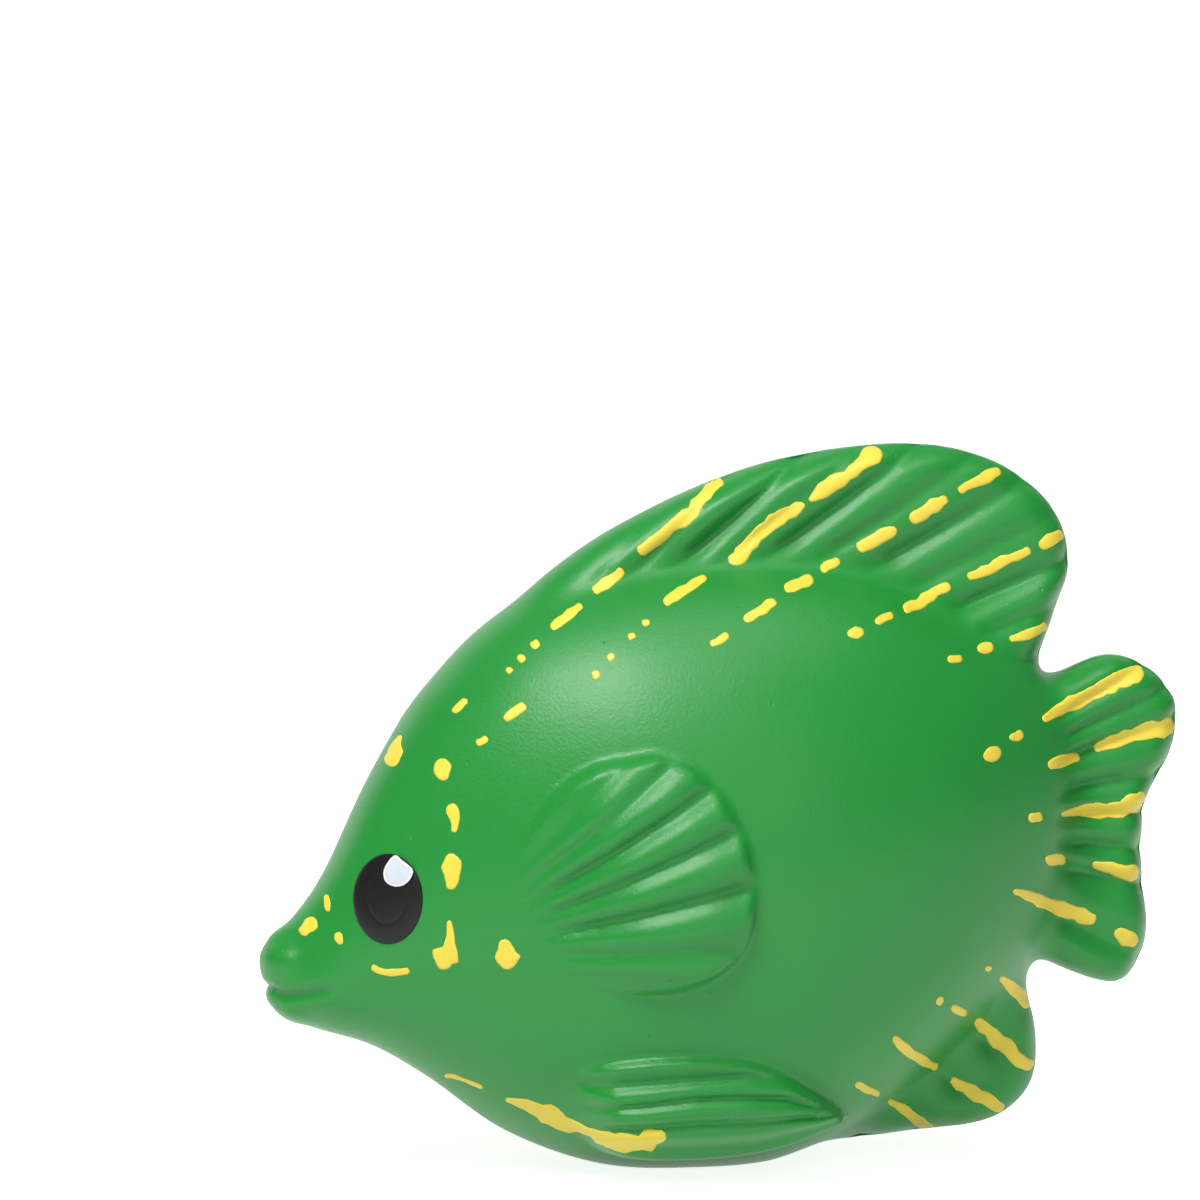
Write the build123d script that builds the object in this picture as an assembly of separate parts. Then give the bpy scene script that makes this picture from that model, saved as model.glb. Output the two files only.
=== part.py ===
from build123d import *
import math
import os

# A squeezable tropical fish, moulded in one shot of soft foam and painted by hand.
# Nose towards -X, tail towards +X, back up +Z, the fish's own left side towards -Y.
# The origin is under the middle of the fish, on the surface that it stands on.
# All sizes are in millimetres. Places are shares of the whole length, from the nose,
# and of the whole height, from the ground.

# Driving sizes of the whole fish
fish_length = 100.0
fish_height = 77.6
body_thickness = 46.0

# Moulding and paint
overrun = 5.0
sole_depth = 0.5
paint_film = 0.15
quarter_turn = 90

# Body: distance from the nose, lowest and highest point, half width and widest height of
# each cross-section, as shares of the length, height, height, half thickness and height
body_station_shares = [
    (0.003, 0.262, 0.306, 0.050, 0.284),
    (0.012, 0.232, 0.330, 0.128, 0.280),
    (0.036, 0.210, 0.354, 0.226, 0.277),
    (0.070, 0.195, 0.417, 0.335, 0.285),
    (0.120, 0.174, 0.552, 0.461, 0.329),
    (0.180, 0.128, 0.674, 0.609, 0.367),
    (0.260, 0.054, 0.773, 0.778, 0.392),
    (0.360, 0.005, 0.822, 0.930, 0.411),
    (0.460, 0.000, 0.838, 1.000, 0.418),
    (0.560, 0.007, 0.840, 0.996, 0.424),
    (0.650, 0.060, 0.823, 0.913, 0.437),
    (0.730, 0.134, 0.778, 0.774, 0.456),
    (0.800, 0.221, 0.722, 0.574, 0.475),
    (0.845, 0.295, 0.681, 0.417, 0.485),
    (0.880, 0.325, 0.652, 0.235, 0.485),
    (0.910, 0.360, 0.614, 0.104, 0.485),
]

# Lips: the upper one stands a little proud, over a crease that bends round the snout
upper_lip_size = (9.0, 10.6, 6.4)
upper_lip_height_share = 0.290
mouth_bend_radius = 8.0
mouth_line_radius = 0.8
mouth_half_sweep = 62.0
mouth_tilt = 8.0
mouth_height_share = 0.262

# Fin blades: each thins steadily away from the hub, a point in the middle of the body.
# An outline runs from the blade's first root to its last. The root's thickness is taken
# at a share of the way from the hub to the farthest edge. The first and last groove each
# run from the rays' origin through a point.
hub_shares = (0.550, 0.418)
edge_round = 1.8
groove_radius = 1.5
groove_depth = 0.8

dorsal_outline_shares = [
    (0.235, 0.728),
    (0.325, 0.842),
    (0.410, 0.906),
    (0.520, 0.965),
    (0.620, 0.993),
    (0.720, 0.999),
    (0.800, 0.972),
    (0.857, 0.914),
    (0.878, 0.838),
    (0.862, 0.766),
    (0.841, 0.690),
]
dorsal_root_share = 0.62
dorsal_root_thickness = 12.4
dorsal_rim_thickness = 4.6
dorsal_ray_origin_shares = (0.055, 0.396)
dorsal_first_ray_shares = (0.580, 0.989)
dorsal_last_ray_shares = (0.868, 0.711)
dorsal_ray_count = 10

tail_outline_shares = [
    (0.830, 0.650),
    (0.884, 0.692),
    (0.922, 0.704),
    (0.961, 0.691),
    (0.991, 0.654),
    (1.000, 0.612),
    (0.986, 0.552),
    (0.966, 0.500),
    (0.960, 0.420),
    (0.963, 0.330),
    (0.952, 0.280),
    (0.925, 0.250),
    (0.884, 0.262),
    (0.830, 0.294),
]
tail_root_share = 0.65
tail_root_thickness = 11.0
tail_rim_thickness = 5.0
tail_ray_origin_shares = (0.649, 0.484)
tail_first_ray_shares = (0.920, 0.698)
tail_last_ray_shares = (0.923, 0.275)
tail_ray_count = 9

anal_outline_shares = [
    (0.780, 0.340),
    (0.826, 0.285),
    (0.833, 0.235),
    (0.843, 0.175),
    (0.841, 0.114),
    (0.819, 0.073),
    (0.780, 0.049),
    (0.700, 0.038),
    (0.610, 0.028),
]
anal_root_share = 0.73
anal_root_thickness = 10.0
anal_rim_thickness = 5.0
anal_ray_origin_shares = (-0.200, 1.250)
anal_first_ray_shares = (0.840, 0.125)
anal_last_ray_shares = (0.585, 0.044)
anal_ray_count = 5

# Side fins: low ridged leaves, laid on the flank and on the lower side of the belly.
# Ray origins are shares of the leaf's own length and width, from its centre.
leaf_groove_radius = 1.3
leaf_groove_depth = 0.7

pectoral_size = (25.0, 25.6, 7.4)
pectoral_centre_shares = (0.378, 0.430)
pectoral_sink = 1.1
pectoral_lean = 8.0
pectoral_ray_origin_shares = (-0.86, -0.36)
pectoral_first_ray = 44.0
pectoral_last_ray = -2.0
pectoral_ray_count = 6

pelvic_size = (38.0, 21.0, 6.0)
pelvic_leaf_length = 32.0
pelvic_leaf_width = 17.0
pelvic_centre_shares = (0.455, 0.094)
pelvic_sink = 0.9
pelvic_lean = 4.0
pelvic_ray_origin_shares = (1.30, 0.00)
pelvic_first_ray = -6.5
pelvic_last_ray = 6.5
pelvic_ray_count = 4

# Eyes: a thin black oval on each side of the head, with a small pale glint
eye_size = (7.2, 10.0)
eye_centre_shares = (0.129, 0.380)
eye_relief = 0.4
glint_size = (2.8, 3.4)
left_glint_offset = (1.4, 2.8)
right_glint_offset = (0.2, 3.2)

# Painted marks: rows of brushed dashes and dots. Each row is a curve through three points,
# in shares of the length and height, and each mark on it has a width and the part of the
# curve that it covers.
wide_dash = 1.6
dash = 1.2
dot = 0.9
blob = 2.2

dorsal_row_shares = {
    "left": [
        (
            ((0.498, 0.942), (0.337, 0.785), (0.199, 0.639)),
            [(wide_dash, 0.00, 0.30), (dash, 0.39, 0.47), (dash, 0.53, 0.63)]
            + [(dot, 0.70, 0.71), (dot, 0.75, 0.76), (dot, 0.80, 0.81), (dot, 0.96, 1.00)],
        ),
        (
            ((0.668, 0.972), (0.475, 0.820), (0.346, 0.695)),
            [(wide_dash, 0.00, 0.23), (wide_dash, 0.26, 0.50), (dash, 0.60, 0.73)]
            + [(dot, 0.81, 0.82), (dot, 0.86, 0.87), (dot, 0.94, 0.95), (dot, 0.99, 1.00)],
        ),
        (((0.267, 0.650), (0.243, 0.624), (0.216, 0.594)), [(dash, 0.0, 0.33), (dot, 0.72, 1.0)]),
        (
            ((0.797, 0.952), (0.649, 0.861), (0.470, 0.737)),
            [(dash, 0.00, 0.13), (dash, 0.18, 0.30), (dash, 0.36, 0.48), (dash, 0.55, 0.61)]
            + [(dash, 0.65, 0.73), (dash, 0.78, 0.88), (dash, 0.95, 1.00)],
        ),
        (
            ((0.862, 0.868), (0.743, 0.801), (0.624, 0.746)),
            [(dash, 0.00, 0.08), (dash, 0.15, 0.43), (wide_dash, 0.54, 0.74)]
            + [(dash, 0.79, 0.87), (dash, 0.95, 1.00)],
        ),
        (
            ((0.846, 0.748), (0.794, 0.726), (0.739, 0.708)),
            [(dash, 0.00, 0.34), (dash, 0.52, 0.69), (dot, 0.89, 1.00)],
        ),
    ],
    "right": [
        (
            ((0.494, 0.935), (0.352, 0.803), (0.201, 0.644)),
            [(wide_dash, 0.00, 0.33), (dash, 0.39, 0.49), (dash, 0.55, 0.61)]
            + [(dot, 0.68, 0.69), (dot, 0.73, 0.74), (dot, 0.78, 0.79), (dot, 0.95, 1.00)],
        ),
        (
            ((0.668, 0.970), (0.491, 0.818), (0.384, 0.705)),
            [(wide_dash, 0.00, 0.25), (wide_dash, 0.28, 0.55), (dash, 0.60, 0.73)]
            + [(dot, 0.78, 0.79), (dot, 0.86, 0.87), (dot, 0.93, 0.94), (dot, 0.99, 1.00)],
        ),
        (((0.262, 0.680), (0.243, 0.657), (0.221, 0.619)), [(dash, 0.0, 0.43), (dot, 0.98, 1.0)]),
        (
            ((0.797, 0.944), (0.654, 0.844), (0.502, 0.692)),
            [(dash, 0.00, 0.10), (dash, 0.17, 0.33), (dash, 0.39, 0.52), (dash, 0.58, 0.63)]
            + [(dash, 0.70, 0.78), (dash, 0.83, 0.90), (dash, 0.96, 1.00)],
        ),
        (
            ((0.862, 0.845), (0.726, 0.783), (0.632, 0.700)),
            [(dash, 0.00, 0.10), (dash, 0.15, 0.56), (wide_dash, 0.64, 0.80)]
            + [(dash, 0.85, 0.92), (dash, 0.99, 1.00)],
        ),
        (
            ((0.846, 0.733), (0.776, 0.696), (0.738, 0.668)),
            [(dash, 0.00, 0.40), (dash, 0.60, 0.73), (dot, 0.90, 1.00)],
        ),
    ],
}

tail_row_shares = {
    "left": [
        (
            ((0.954, 0.684), (0.850, 0.624), (0.784, 0.581)),
            [(wide_dash, 0.00, 0.60), (dash, 0.75, 0.82), (dash, 0.94, 1.00)],
        ),
        (((0.986, 0.614), (0.908, 0.579), (0.857, 0.556)), [(wide_dash, 0.0, 0.6), (dash, 0.8, 1.0)]),
        (((0.958, 0.508), (0.873, 0.487), (0.830, 0.489)), [(wide_dash, 0.0, 0.7), (dash, 0.92, 1.0)]),
        (((0.950, 0.409), (0.908, 0.418), (0.854, 0.428)), [(dash, 0.0, 0.46), (dash, 0.85, 1.0)]),
        (((0.944, 0.318), (0.867, 0.366), (0.811, 0.390)), [(dash, 0.0, 0.16), (wide_dash, 0.34, 1.0)]),
    ],
    "right": [
        (
            ((0.956, 0.660), (0.845, 0.603), (0.791, 0.572)),
            [(wide_dash, 0.00, 0.67), (dash, 0.81, 0.82), (dash, 0.98, 1.00)],
        ),
        (((0.984, 0.588), (0.897, 0.547), (0.841, 0.525)), [(wide_dash, 0.0, 0.6), (dash, 0.8, 1.0)]),
        (((0.956, 0.487), (0.864, 0.451), (0.832, 0.444)), [(wide_dash, 0.0, 0.7), (dash, 0.98, 1.0)]),
        (((0.951, 0.377), (0.896, 0.379), (0.852, 0.390)), [(dash, 0.0, 0.55), (dash, 0.78, 1.0)]),
        (((0.944, 0.294), (0.894, 0.308), (0.800, 0.352)), [(dash, 0.0, 0.24), (wide_dash, 0.38, 1.0)]),
    ],
}

anal_row_shares = {
    "left": [
        (
            ((0.824, 0.226), (0.793, 0.279), (0.772, 0.301)),
            [(dash, 0.00, 0.52), (dot, 0.74, 0.76), (dot, 0.98, 1.00)],
        ),
        (
            ((0.829, 0.143), (0.774, 0.205), (0.723, 0.242)),
            [(wide_dash, 0.00, 0.62), (dash, 0.75, 0.86), (dot, 0.98, 1.00)],
        ),
        (((0.796, 0.088), (0.730, 0.143), (0.677, 0.187)), [(dash, 0.0, 0.47), (dash, 0.6, 1.0)]),
        (((0.722, 0.064), (0.681, 0.108), (0.642, 0.121)), [(dash, 0.0, 0.55), (dot, 0.77, 1.0)]),
    ],
    "right": [
        (
            ((0.830, 0.180), (0.799, 0.225), (0.779, 0.268)),
            [(dash, 0.00, 0.59), (dot, 0.75, 0.77), (dot, 0.98, 1.00)],
        ),
        (
            ((0.814, 0.101), (0.770, 0.144), (0.731, 0.201)),
            [(wide_dash, 0.00, 0.55), (dash, 0.71, 0.75), (dot, 0.98, 1.00)],
        ),
        (((0.770, 0.078), (0.720, 0.109), (0.665, 0.167)), [(dash, 0.0, 0.47), (dash, 0.58, 1.0)]),
        (((0.725, 0.064), (0.666, 0.080), (0.628, 0.110)), [(dash, 0.0, 0.55), (dot, 0.72, 1.0)]),
    ],
}

head_row_shares = {
    "left": [
        (((0.136, 0.560), (0.141, 0.583), (0.147, 0.600)), [(dash, 0.0, 0.8)]),
        (
            ((0.182, 0.562), (0.189, 0.425), (0.182, 0.287)),
            [(blob, 0.00, 0.03), (dash, 0.17, 0.31), (wide_dash, 0.44, 0.58)]
            + [(dot, 0.76, 0.94), (blob, 0.94, 0.98)],
        ),
        (((0.243, 0.316), (0.244, 0.311), (0.246, 0.306)), [(blob, 0.0, 1.0)]),
        (((0.109, 0.287), (0.128, 0.277), (0.148, 0.280)), [(dot, 0.0, 1.0)]),
        (((0.045, 0.334), (0.046, 0.338), (0.048, 0.342)), [(wide_dash, 0.0, 1.0)]),
        (((0.063, 0.382), (0.064, 0.370), (0.065, 0.358)), [(dot, 0.0, 1.0)]),
        (((0.075, 0.330), (0.076, 0.324), (0.078, 0.318)), [(dot, 0.0, 1.0)]),
    ],
    "right": [
        (((0.151, 0.590), (0.158, 0.608), (0.165, 0.622)), [(dash, 0.0, 0.8)]),
        (
            ((0.185, 0.551), (0.206, 0.400), (0.176, 0.272)),
            [(blob, 0.00, 0.03), (dash, 0.24, 0.38), (wide_dash, 0.50, 0.68)]
            + [(dot, 0.82, 0.96), (blob, 0.96, 0.99)],
        ),
        (((0.247, 0.308), (0.256, 0.291), (0.265, 0.275)), [(blob, 0.0, 1.0)]),
        (((0.143, 0.274), (0.128, 0.276), (0.110, 0.288)), [(dot, 0.0, 1.0)]),
        (((0.046, 0.354), (0.055, 0.366), (0.064, 0.377)), [(wide_dash, 0.0, 1.0)]),
        (((0.073, 0.410), (0.073, 0.404), (0.073, 0.397)), [(dot, 0.0, 1.0)]),
        (((0.068, 0.353), (0.073, 0.346), (0.078, 0.340)), [(dot, 0.0, 1.0)]),
    ],
}

belly_row_shares = {
    "left": [
        (((0.195, 0.130), (0.213, 0.121), (0.231, 0.115)), [(dot, 0.0, 1.0)]),
        (((0.256, 0.102), (0.290, 0.083), (0.320, 0.069)), [(wide_dash, 0.0, 1.0)]),
    ],
    "right": [
        (((0.215, 0.134), (0.232, 0.122), (0.249, 0.113)), [(dot, 0.0, 1.0)]),
        (((0.273, 0.103), (0.300, 0.088), (0.325, 0.072)), [(wide_dash, 0.0, 1.0)]),
    ],
}


def along(share):
    """X of a point at that share of the length from the nose."""
    return (share - 0.5) * fish_length


def up(share):
    """Z of a point at that share of the height."""
    return share * fish_height


hub = Vector(along(hub_shares[0]), 0, up(hub_shares[1]))


def ellipsoid(size):
    """A rounded solid of these three overall sizes, centred on the origin."""
    return scale(Sphere(1), by=(size[0] / 2, size[1] / 2, size[2] / 2))


def body_section(station, grow):
    """One oval cross-section of the body, grown outwards by a film's thickness."""
    x_share, low_share, high_share, width_share, widest_share = station
    half_width = width_share * body_thickness / 2 + grow
    rise = up(high_share - widest_share) + grow
    drop = up(widest_share - low_share) + sole_depth + grow
    plane = Plane(
        origin=(along(x_share), 0, up(widest_share)), x_dir=(0, 1, 0), z_dir=(1, 0, 0)
    )
    quarters = [
        EllipticalCenterArc((0, 0), half_width, rise, start_angle=0, arc_size=quarter_turn),
        EllipticalCenterArc((0, 0), half_width, rise, start_angle=quarter_turn, arc_size=quarter_turn),
        EllipticalCenterArc((0, 0), half_width, drop, start_angle=2 * quarter_turn, arc_size=quarter_turn),
        EllipticalCenterArc((0, 0), half_width, drop, start_angle=3 * quarter_turn, arc_size=quarter_turn),
    ]
    return plane * make_face(quarters)


def body_form(grow=0.0):
    """The plump body without its lips, grown by the thickness of what lies on it."""
    return loft([body_section(station, grow) for station in body_station_shares])


def ground():
    """All that lies below the surface that the fish stands on."""
    return Box(
        2 * fish_length,
        2 * body_thickness,
        overrun,
        align=(Align.CENTER, Align.CENTER, Align.MAX),
    )


def upper_lip():
    """The rounded bead that forms the upper lip and the tip of the nose."""
    centre_x = along(0) + upper_lip_size[0] / 2
    return Pos(centre_x, 0, up(upper_lip_height_share)) * ellipsoid(upper_lip_size)


def mouth_crease():
    """The groove between the lips, bent round the snout and rising a little behind."""
    sweep = 2 * mouth_half_sweep
    bend = Torus(mouth_bend_radius, mouth_line_radius, major_angle=sweep, align=None)
    bend = Rot(0, 0, 2 * quarter_turn - mouth_half_sweep) * bend
    centre_x = along(0) + mouth_line_radius + mouth_bend_radius
    return Pos(centre_x, 0, up(mouth_height_share)) * Rot(0, -mouth_tilt, 0) * bend


class Blade:
    """One upright fin: its outline, its rays, and how it thins away from the hub."""

    def __init__(self, outline, root_share, root_thickness, rim_thickness, origin, rays):
        self.points = [(along(x), up(z)) for x, z in outline]
        reaches = [(Vector(x, 0, z) - hub).length for x, z in self.points]
        self.rim_radius = max(reaches) + edge_round
        self.root_radius = root_share * self.rim_radius
        self.root_thickness = root_thickness
        self.rim_thickness = rim_thickness
        self.origin = Vector(along(origin[0]), 0, up(origin[1]))
        self.rays = rays

    def half(self, radius):
        """Half of the blade's thickness at a distance from the hub."""
        share = (radius - self.root_radius) / (self.rim_radius - self.root_radius)
        gain = self.rim_thickness - self.root_thickness
        return (self.root_thickness + share * gain) / 2

    def shows(self, form, point):
        """Whether the blade, not the body's skin, is outermost at a point in side view."""
        hits = form.find_intersection_points(Axis(tuple(point), (0, 1, 0)))
        reach = max([hit[0].Y for hit in hits], default=0)
        return self.half((point - hub).length) > reach

    def disc(self, grow):
        """A disc round the hub, thick in the middle and thin at its rim."""
        at_hub = self.half(0) + grow
        at_rim = self.half(self.rim_radius) + grow
        profile = Polyline(
            (0, -at_hub),
            (self.rim_radius, -at_rim),
            (self.rim_radius, at_rim),
            (0, at_hub),
            close=True,
        )
        return Pos(*hub) * revolve(make_face(profile), axis=Axis.Y)

    def slab(self):
        """The outline as a thick slab, closed inside the body at the hub."""
        closing = Polyline(self.points[-1], (hub.X, hub.Z), self.points[0])
        outline = make_face([Spline(self.points), closing])
        side = Plane.XZ.offset(-body_thickness)
        return extrude(side * outline, amount=2 * body_thickness)

    def groove(self, angle):
        """A round cutter along one ray, on the left side, from the blade's root outwards."""
        ray = Vector(math.cos(math.radians(angle)), 0, math.sin(math.radians(angle)))
        away = hub - self.origin
        near = away.dot(ray)
        square = near * near - away.dot(away)
        ends = []
        for radius in (self.root_radius, self.rim_radius + overrun):
            reach = near + math.sqrt(max(0, square + radius * radius))
            outside = self.half(radius) + groove_radius - groove_depth
            ends.append(self.origin + ray * reach - Vector(0, outside, 0))
        run = ends[1] - ends[0]
        lengthwise = (Align.CENTER, Align.CENTER, Align.MIN)
        cutter = Cylinder(groove_radius, run.length, align=lengthwise)
        return Plane(origin=ends[0], z_dir=run) * cutter

    def blank(self):
        """The blade with a rounded edge, before its grooves are cut."""
        fin = self.slab() & self.disc(0)
        rim = fin.faces().filter_by(GeomType.EXTRUSION)[0]
        return fillet(rim.edges().filter_by(GeomType.BSPLINE), edge_round)

    def grooved(self, blank):
        """The blank with its grooves cut on both sides."""
        left = [self.groove(angle) for angle in self.rays]
        right = [mirror(groove, about=Plane.XZ) for groove in left]
        return blank - left - right


def largest(shape):
    """The main solid of a shape, without the crumbs that a cut leaves."""
    return max(shape.solids(), key=lambda solid: solid.volume)


def ray_angles(first, last, count):
    """Evenly spread angles of a fin's grooves."""
    return [first + (last - first) * i / (count - 1) for i in range(count)]


def aimed_rays(origin_shares, first_shares, last_shares, count):
    """Angles of the grooves between the rays through a first and a last point."""
    ends = []
    for x_share, z_share in (first_shares, last_shares):
        rise = up(z_share) - up(origin_shares[1])
        run = along(x_share) - along(origin_shares[0])
        ends.append(math.degrees(math.atan2(rise, run)))
    return ray_angles(ends[0], ends[1], count)


def dorsal_blade():
    """The tall fin along the back."""
    return Blade(
        dorsal_outline_shares,
        dorsal_root_share,
        dorsal_root_thickness,
        dorsal_rim_thickness,
        dorsal_ray_origin_shares,
        aimed_rays(
            dorsal_ray_origin_shares,
            dorsal_first_ray_shares,
            dorsal_last_ray_shares,
            dorsal_ray_count,
        ),
    )


def tail_blade():
    """The tail fin."""
    return Blade(
        tail_outline_shares,
        tail_root_share,
        tail_root_thickness,
        tail_rim_thickness,
        tail_ray_origin_shares,
        aimed_rays(
            tail_ray_origin_shares,
            tail_first_ray_shares,
            tail_last_ray_shares,
            tail_ray_count,
        ),
    )


def anal_blade():
    """The fin under the tail."""
    return Blade(
        anal_outline_shares,
        anal_root_share,
        anal_root_thickness,
        anal_rim_thickness,
        anal_ray_origin_shares,
        aimed_rays(
            anal_ray_origin_shares,
            anal_first_ray_shares,
            anal_last_ray_shares,
            anal_ray_count,
        ),
    )


def leaf_groove(size, origin, angle):
    """A round cutter that follows the crown of a leaf along one ray."""
    ray = Vector(math.cos(math.radians(angle)), math.sin(math.radians(angle)), 0)
    foot = origin + ray * (-origin.dot(ray))
    share = math.sqrt(1 - (2 * foot.X / size[0]) ** 2 - (2 * foot.Y / size[1]) ** 2)
    half_chord = share * size[0] / 2
    crown = share * size[2] / 2
    bend_radius = half_chord * half_chord / crown
    height = crown + leaf_groove_radius - leaf_groove_depth - bend_radius
    across = Vector(ray.Y, -ray.X, 0)
    place = Plane(origin=foot + Vector(0, 0, height), x_dir=ray, z_dir=across)
    sweep = math.degrees(2 * size[0] / bend_radius)
    bend = Torus(bend_radius, leaf_groove_radius, major_angle=sweep, align=None)
    return place * Rot(0, 0, quarter_turn - sweep / 2) * bend


def ridged_leaf(form, size, origin_shares, rays):
    """A low rounded leaf, crowned towards +Z, with a groove along each ray."""
    origin = Vector(origin_shares[0] * size[0], origin_shares[1] * size[1], 0)
    grooves = [leaf_groove(size, origin, angle) for angle in rays]
    return form - grooves


def pointed_slab(length, width, height):
    """A slab with a pointed oval outline, to trim a leaf with."""
    tips = ((-length / 2, 0), (length / 2, 0))
    upper = ThreePointArc(tips[0], (0, width / 2), tips[1])
    lower = ThreePointArc(tips[0], (0, -width / 2), tips[1])
    return extrude(make_face([upper, lower]), amount=height, both=True)


def on_flank(body, leaf, centre_shares, sink, lean):
    """Lays a leaf on the left flank, sunk in a little, with its rear edge proud."""
    axis = Axis((along(centre_shares[0]), 0, up(centre_shares[1])), (0, 1, 0))
    hits = body.find_intersection_points(axis)
    point, facing = min(hits, key=lambda hit: hit[0].Y)
    seat = Plane(origin=point - facing * sink, x_dir=(1, 0, 0), z_dir=facing)
    return seat * Rot(0, -lean, 0) * leaf


def pectoral_fin(body):
    """The left pectoral fin, fanned out on the flank."""
    rays = ray_angles(pectoral_first_ray, pectoral_last_ray, pectoral_ray_count)
    form = ellipsoid(pectoral_size)
    leaf = ridged_leaf(form, pectoral_size, pectoral_ray_origin_shares, rays)
    return on_flank(body, leaf, pectoral_centre_shares, pectoral_sink, pectoral_lean)


def pelvic_fin(body):
    """The left pelvic fin, folded back under the belly, with a pointed tip."""
    rays = ray_angles(pelvic_first_ray, pelvic_last_ray, pelvic_ray_count)
    outline = pointed_slab(pelvic_leaf_length, pelvic_leaf_width, pelvic_size[2])
    form = ellipsoid(pelvic_size) & outline
    leaf = ridged_leaf(form, pelvic_size, pelvic_ray_origin_shares, rays)
    return on_flank(body, leaf, pelvic_centre_shares, pelvic_sink, pelvic_lean)


def side_prism(outline, side):
    """An outline drawn in side view, pushed out through the left or the right flank."""
    outwards = body_thickness if side == "left" else -body_thickness
    return extrude(Plane.XZ * outline, amount=outwards)


def eye_outline():
    """The oval of an eye, seen from the side."""
    centre = Pos(along(eye_centre_shares[0]), up(eye_centre_shares[1]))
    return centre * Ellipse(eye_size[0] / 2, eye_size[1] / 2)


def glint_outline(offset):
    """The small oval that catches the light, near the top of an eye."""
    centre = Pos(along(eye_centre_shares[0]), up(eye_centre_shares[1]))
    return centre * Pos(*offset) * Ellipse(glint_size[0] / 2, glint_size[1] / 2)


def marks_of(rows, side):
    """The middle of every mark of these rows, with the mark as a prism with round ends."""
    marks = []
    for places, stretches in rows:
        route = Spline([(along(x), up(z)) for x, z in places])
        for width, first, last in stretches:
            start = route @ first
            run = route @ last - start
            turn = math.degrees(math.atan2(run.Y, run.X))
            middle = start + run / 2
            outline = Pos(middle.X, middle.Y) * Rot(0, 0, turn)
            outline = outline * SlotCenterToCenter(run.length, width)
            marks.append((Vector(middle.X, 0, middle.Y), side_prism(outline, side)))
    return marks


def painted(marks, layer, bases):
    """The films that these marks leave in a layer of paint, clear of what they lie on."""
    prisms = Part() + [prism for _, prism in marks]
    return (prisms & layer) - bases


def main():
    os.makedirs("parts", exist_ok=True)
    form = body_form()
    blades = {"dorsal": dorsal_blade(), "tail": tail_blade(), "anal": anal_blade()}
    blanks = {name: blade.blank() for name, blade in blades.items()}
    fins = {name: blade.grooved(blanks[name]) for name, blade in blades.items()}
    pelvic_form = pelvic_fin(form)
    pelvic_forms = {"left": pelvic_form, "right": mirror(pelvic_form, about=Plane.XZ)}
    pectoral = pectoral_fin(form) - form
    pelvic = pelvic_form - form - ground()
    eye_skin = body_form(eye_relief)
    eye = (side_prism(eye_outline(), "left") & eye_skin) - form
    nodes = {
        "foam_body": form + upper_lip() - mouth_crease() - ground(),
        "dorsal_fin": largest(fins["dorsal"] - [form, blanks["tail"]]),
        "tail_fin": largest(fins["tail"] - form),
        "anal_fin": largest(fins["anal"] - [form, blanks["tail"]]),
        "pectoral_fin_left": pectoral,
        "pectoral_fin_right": mirror(pectoral, about=Plane.XZ),
        "pelvic_fin_left": pelvic,
        "pelvic_fin_right": mirror(pelvic, about=Plane.XZ),
        "eye_left": eye,
        "eye_right": mirror(eye, about=Plane.XZ),
    }
    glint_skin = body_form(eye_relief + paint_film)
    glint_offsets = {"left": left_glint_offset, "right": right_glint_offset}
    fin_rows = {"dorsal": dorsal_row_shares, "tail": tail_row_shares, "anal": anal_row_shares}
    coat = body_form(paint_film)
    layer = coat - form
    for side, offset in glint_offsets.items():
        glint = side_prism(glint_outline(offset), side) & glint_skin
        nodes["eye_glint_" + side] = glint - eye_skin
        for name, rows in fin_rows.items():
            blade = blades[name]
            marks = marks_of(rows[side], side)
            outer = [mark for mark in marks if blade.shows(form, mark[0])]
            inner = [mark for mark in marks if not blade.shows(form, mark[0])]
            films = painted(outer, blade.disc(paint_film), [blanks[name], coat]).solids()
            films += painted(inner, layer, blanks[name]).solids()
            nodes[name + "_marks_" + side] = Compound(children=films)
        marks = marks_of(head_row_shares[side], side)
        nodes["head_marks_" + side] = painted(marks, layer, [])
        marks = marks_of(belly_row_shares[side], side)
        nodes["belly_marks_" + side] = painted(marks, layer, pelvic_forms[side])
    for name, shape in nodes.items():
        export_step(shape, "parts/" + name + ".step")


if __name__ == "__main__":
    main()
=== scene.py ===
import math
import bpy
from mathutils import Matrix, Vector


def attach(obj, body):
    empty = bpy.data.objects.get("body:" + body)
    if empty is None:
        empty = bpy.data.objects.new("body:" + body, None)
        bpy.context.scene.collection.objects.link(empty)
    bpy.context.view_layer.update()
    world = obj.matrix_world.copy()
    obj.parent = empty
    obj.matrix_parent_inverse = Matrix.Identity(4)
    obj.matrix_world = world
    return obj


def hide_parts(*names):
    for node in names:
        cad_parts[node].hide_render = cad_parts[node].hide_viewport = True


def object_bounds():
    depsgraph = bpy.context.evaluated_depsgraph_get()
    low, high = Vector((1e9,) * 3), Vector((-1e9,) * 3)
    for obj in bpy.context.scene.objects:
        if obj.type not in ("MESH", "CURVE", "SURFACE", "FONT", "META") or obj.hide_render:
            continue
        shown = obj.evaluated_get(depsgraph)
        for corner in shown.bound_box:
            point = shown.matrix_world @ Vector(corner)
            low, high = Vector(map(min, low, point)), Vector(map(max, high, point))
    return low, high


bl_info = {
    "name": "Foam squeeze fish",
    "version": (1, 0, 0),
    "blender": (4, 5, 0),
    "location": "View3D > Sidebar > Fish",
    "description": "Moulds a soft foam fish, paints its marks and eyes, and sets up a studio",
    "category": "Add Mesh",
}

import bmesh
import bpy
import numpy as np
from bpy.props import FloatProperty, PointerProperty, StringProperty
from mathutils import Matrix, Vector
from mathutils.bvhtree import BVHTree

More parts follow.
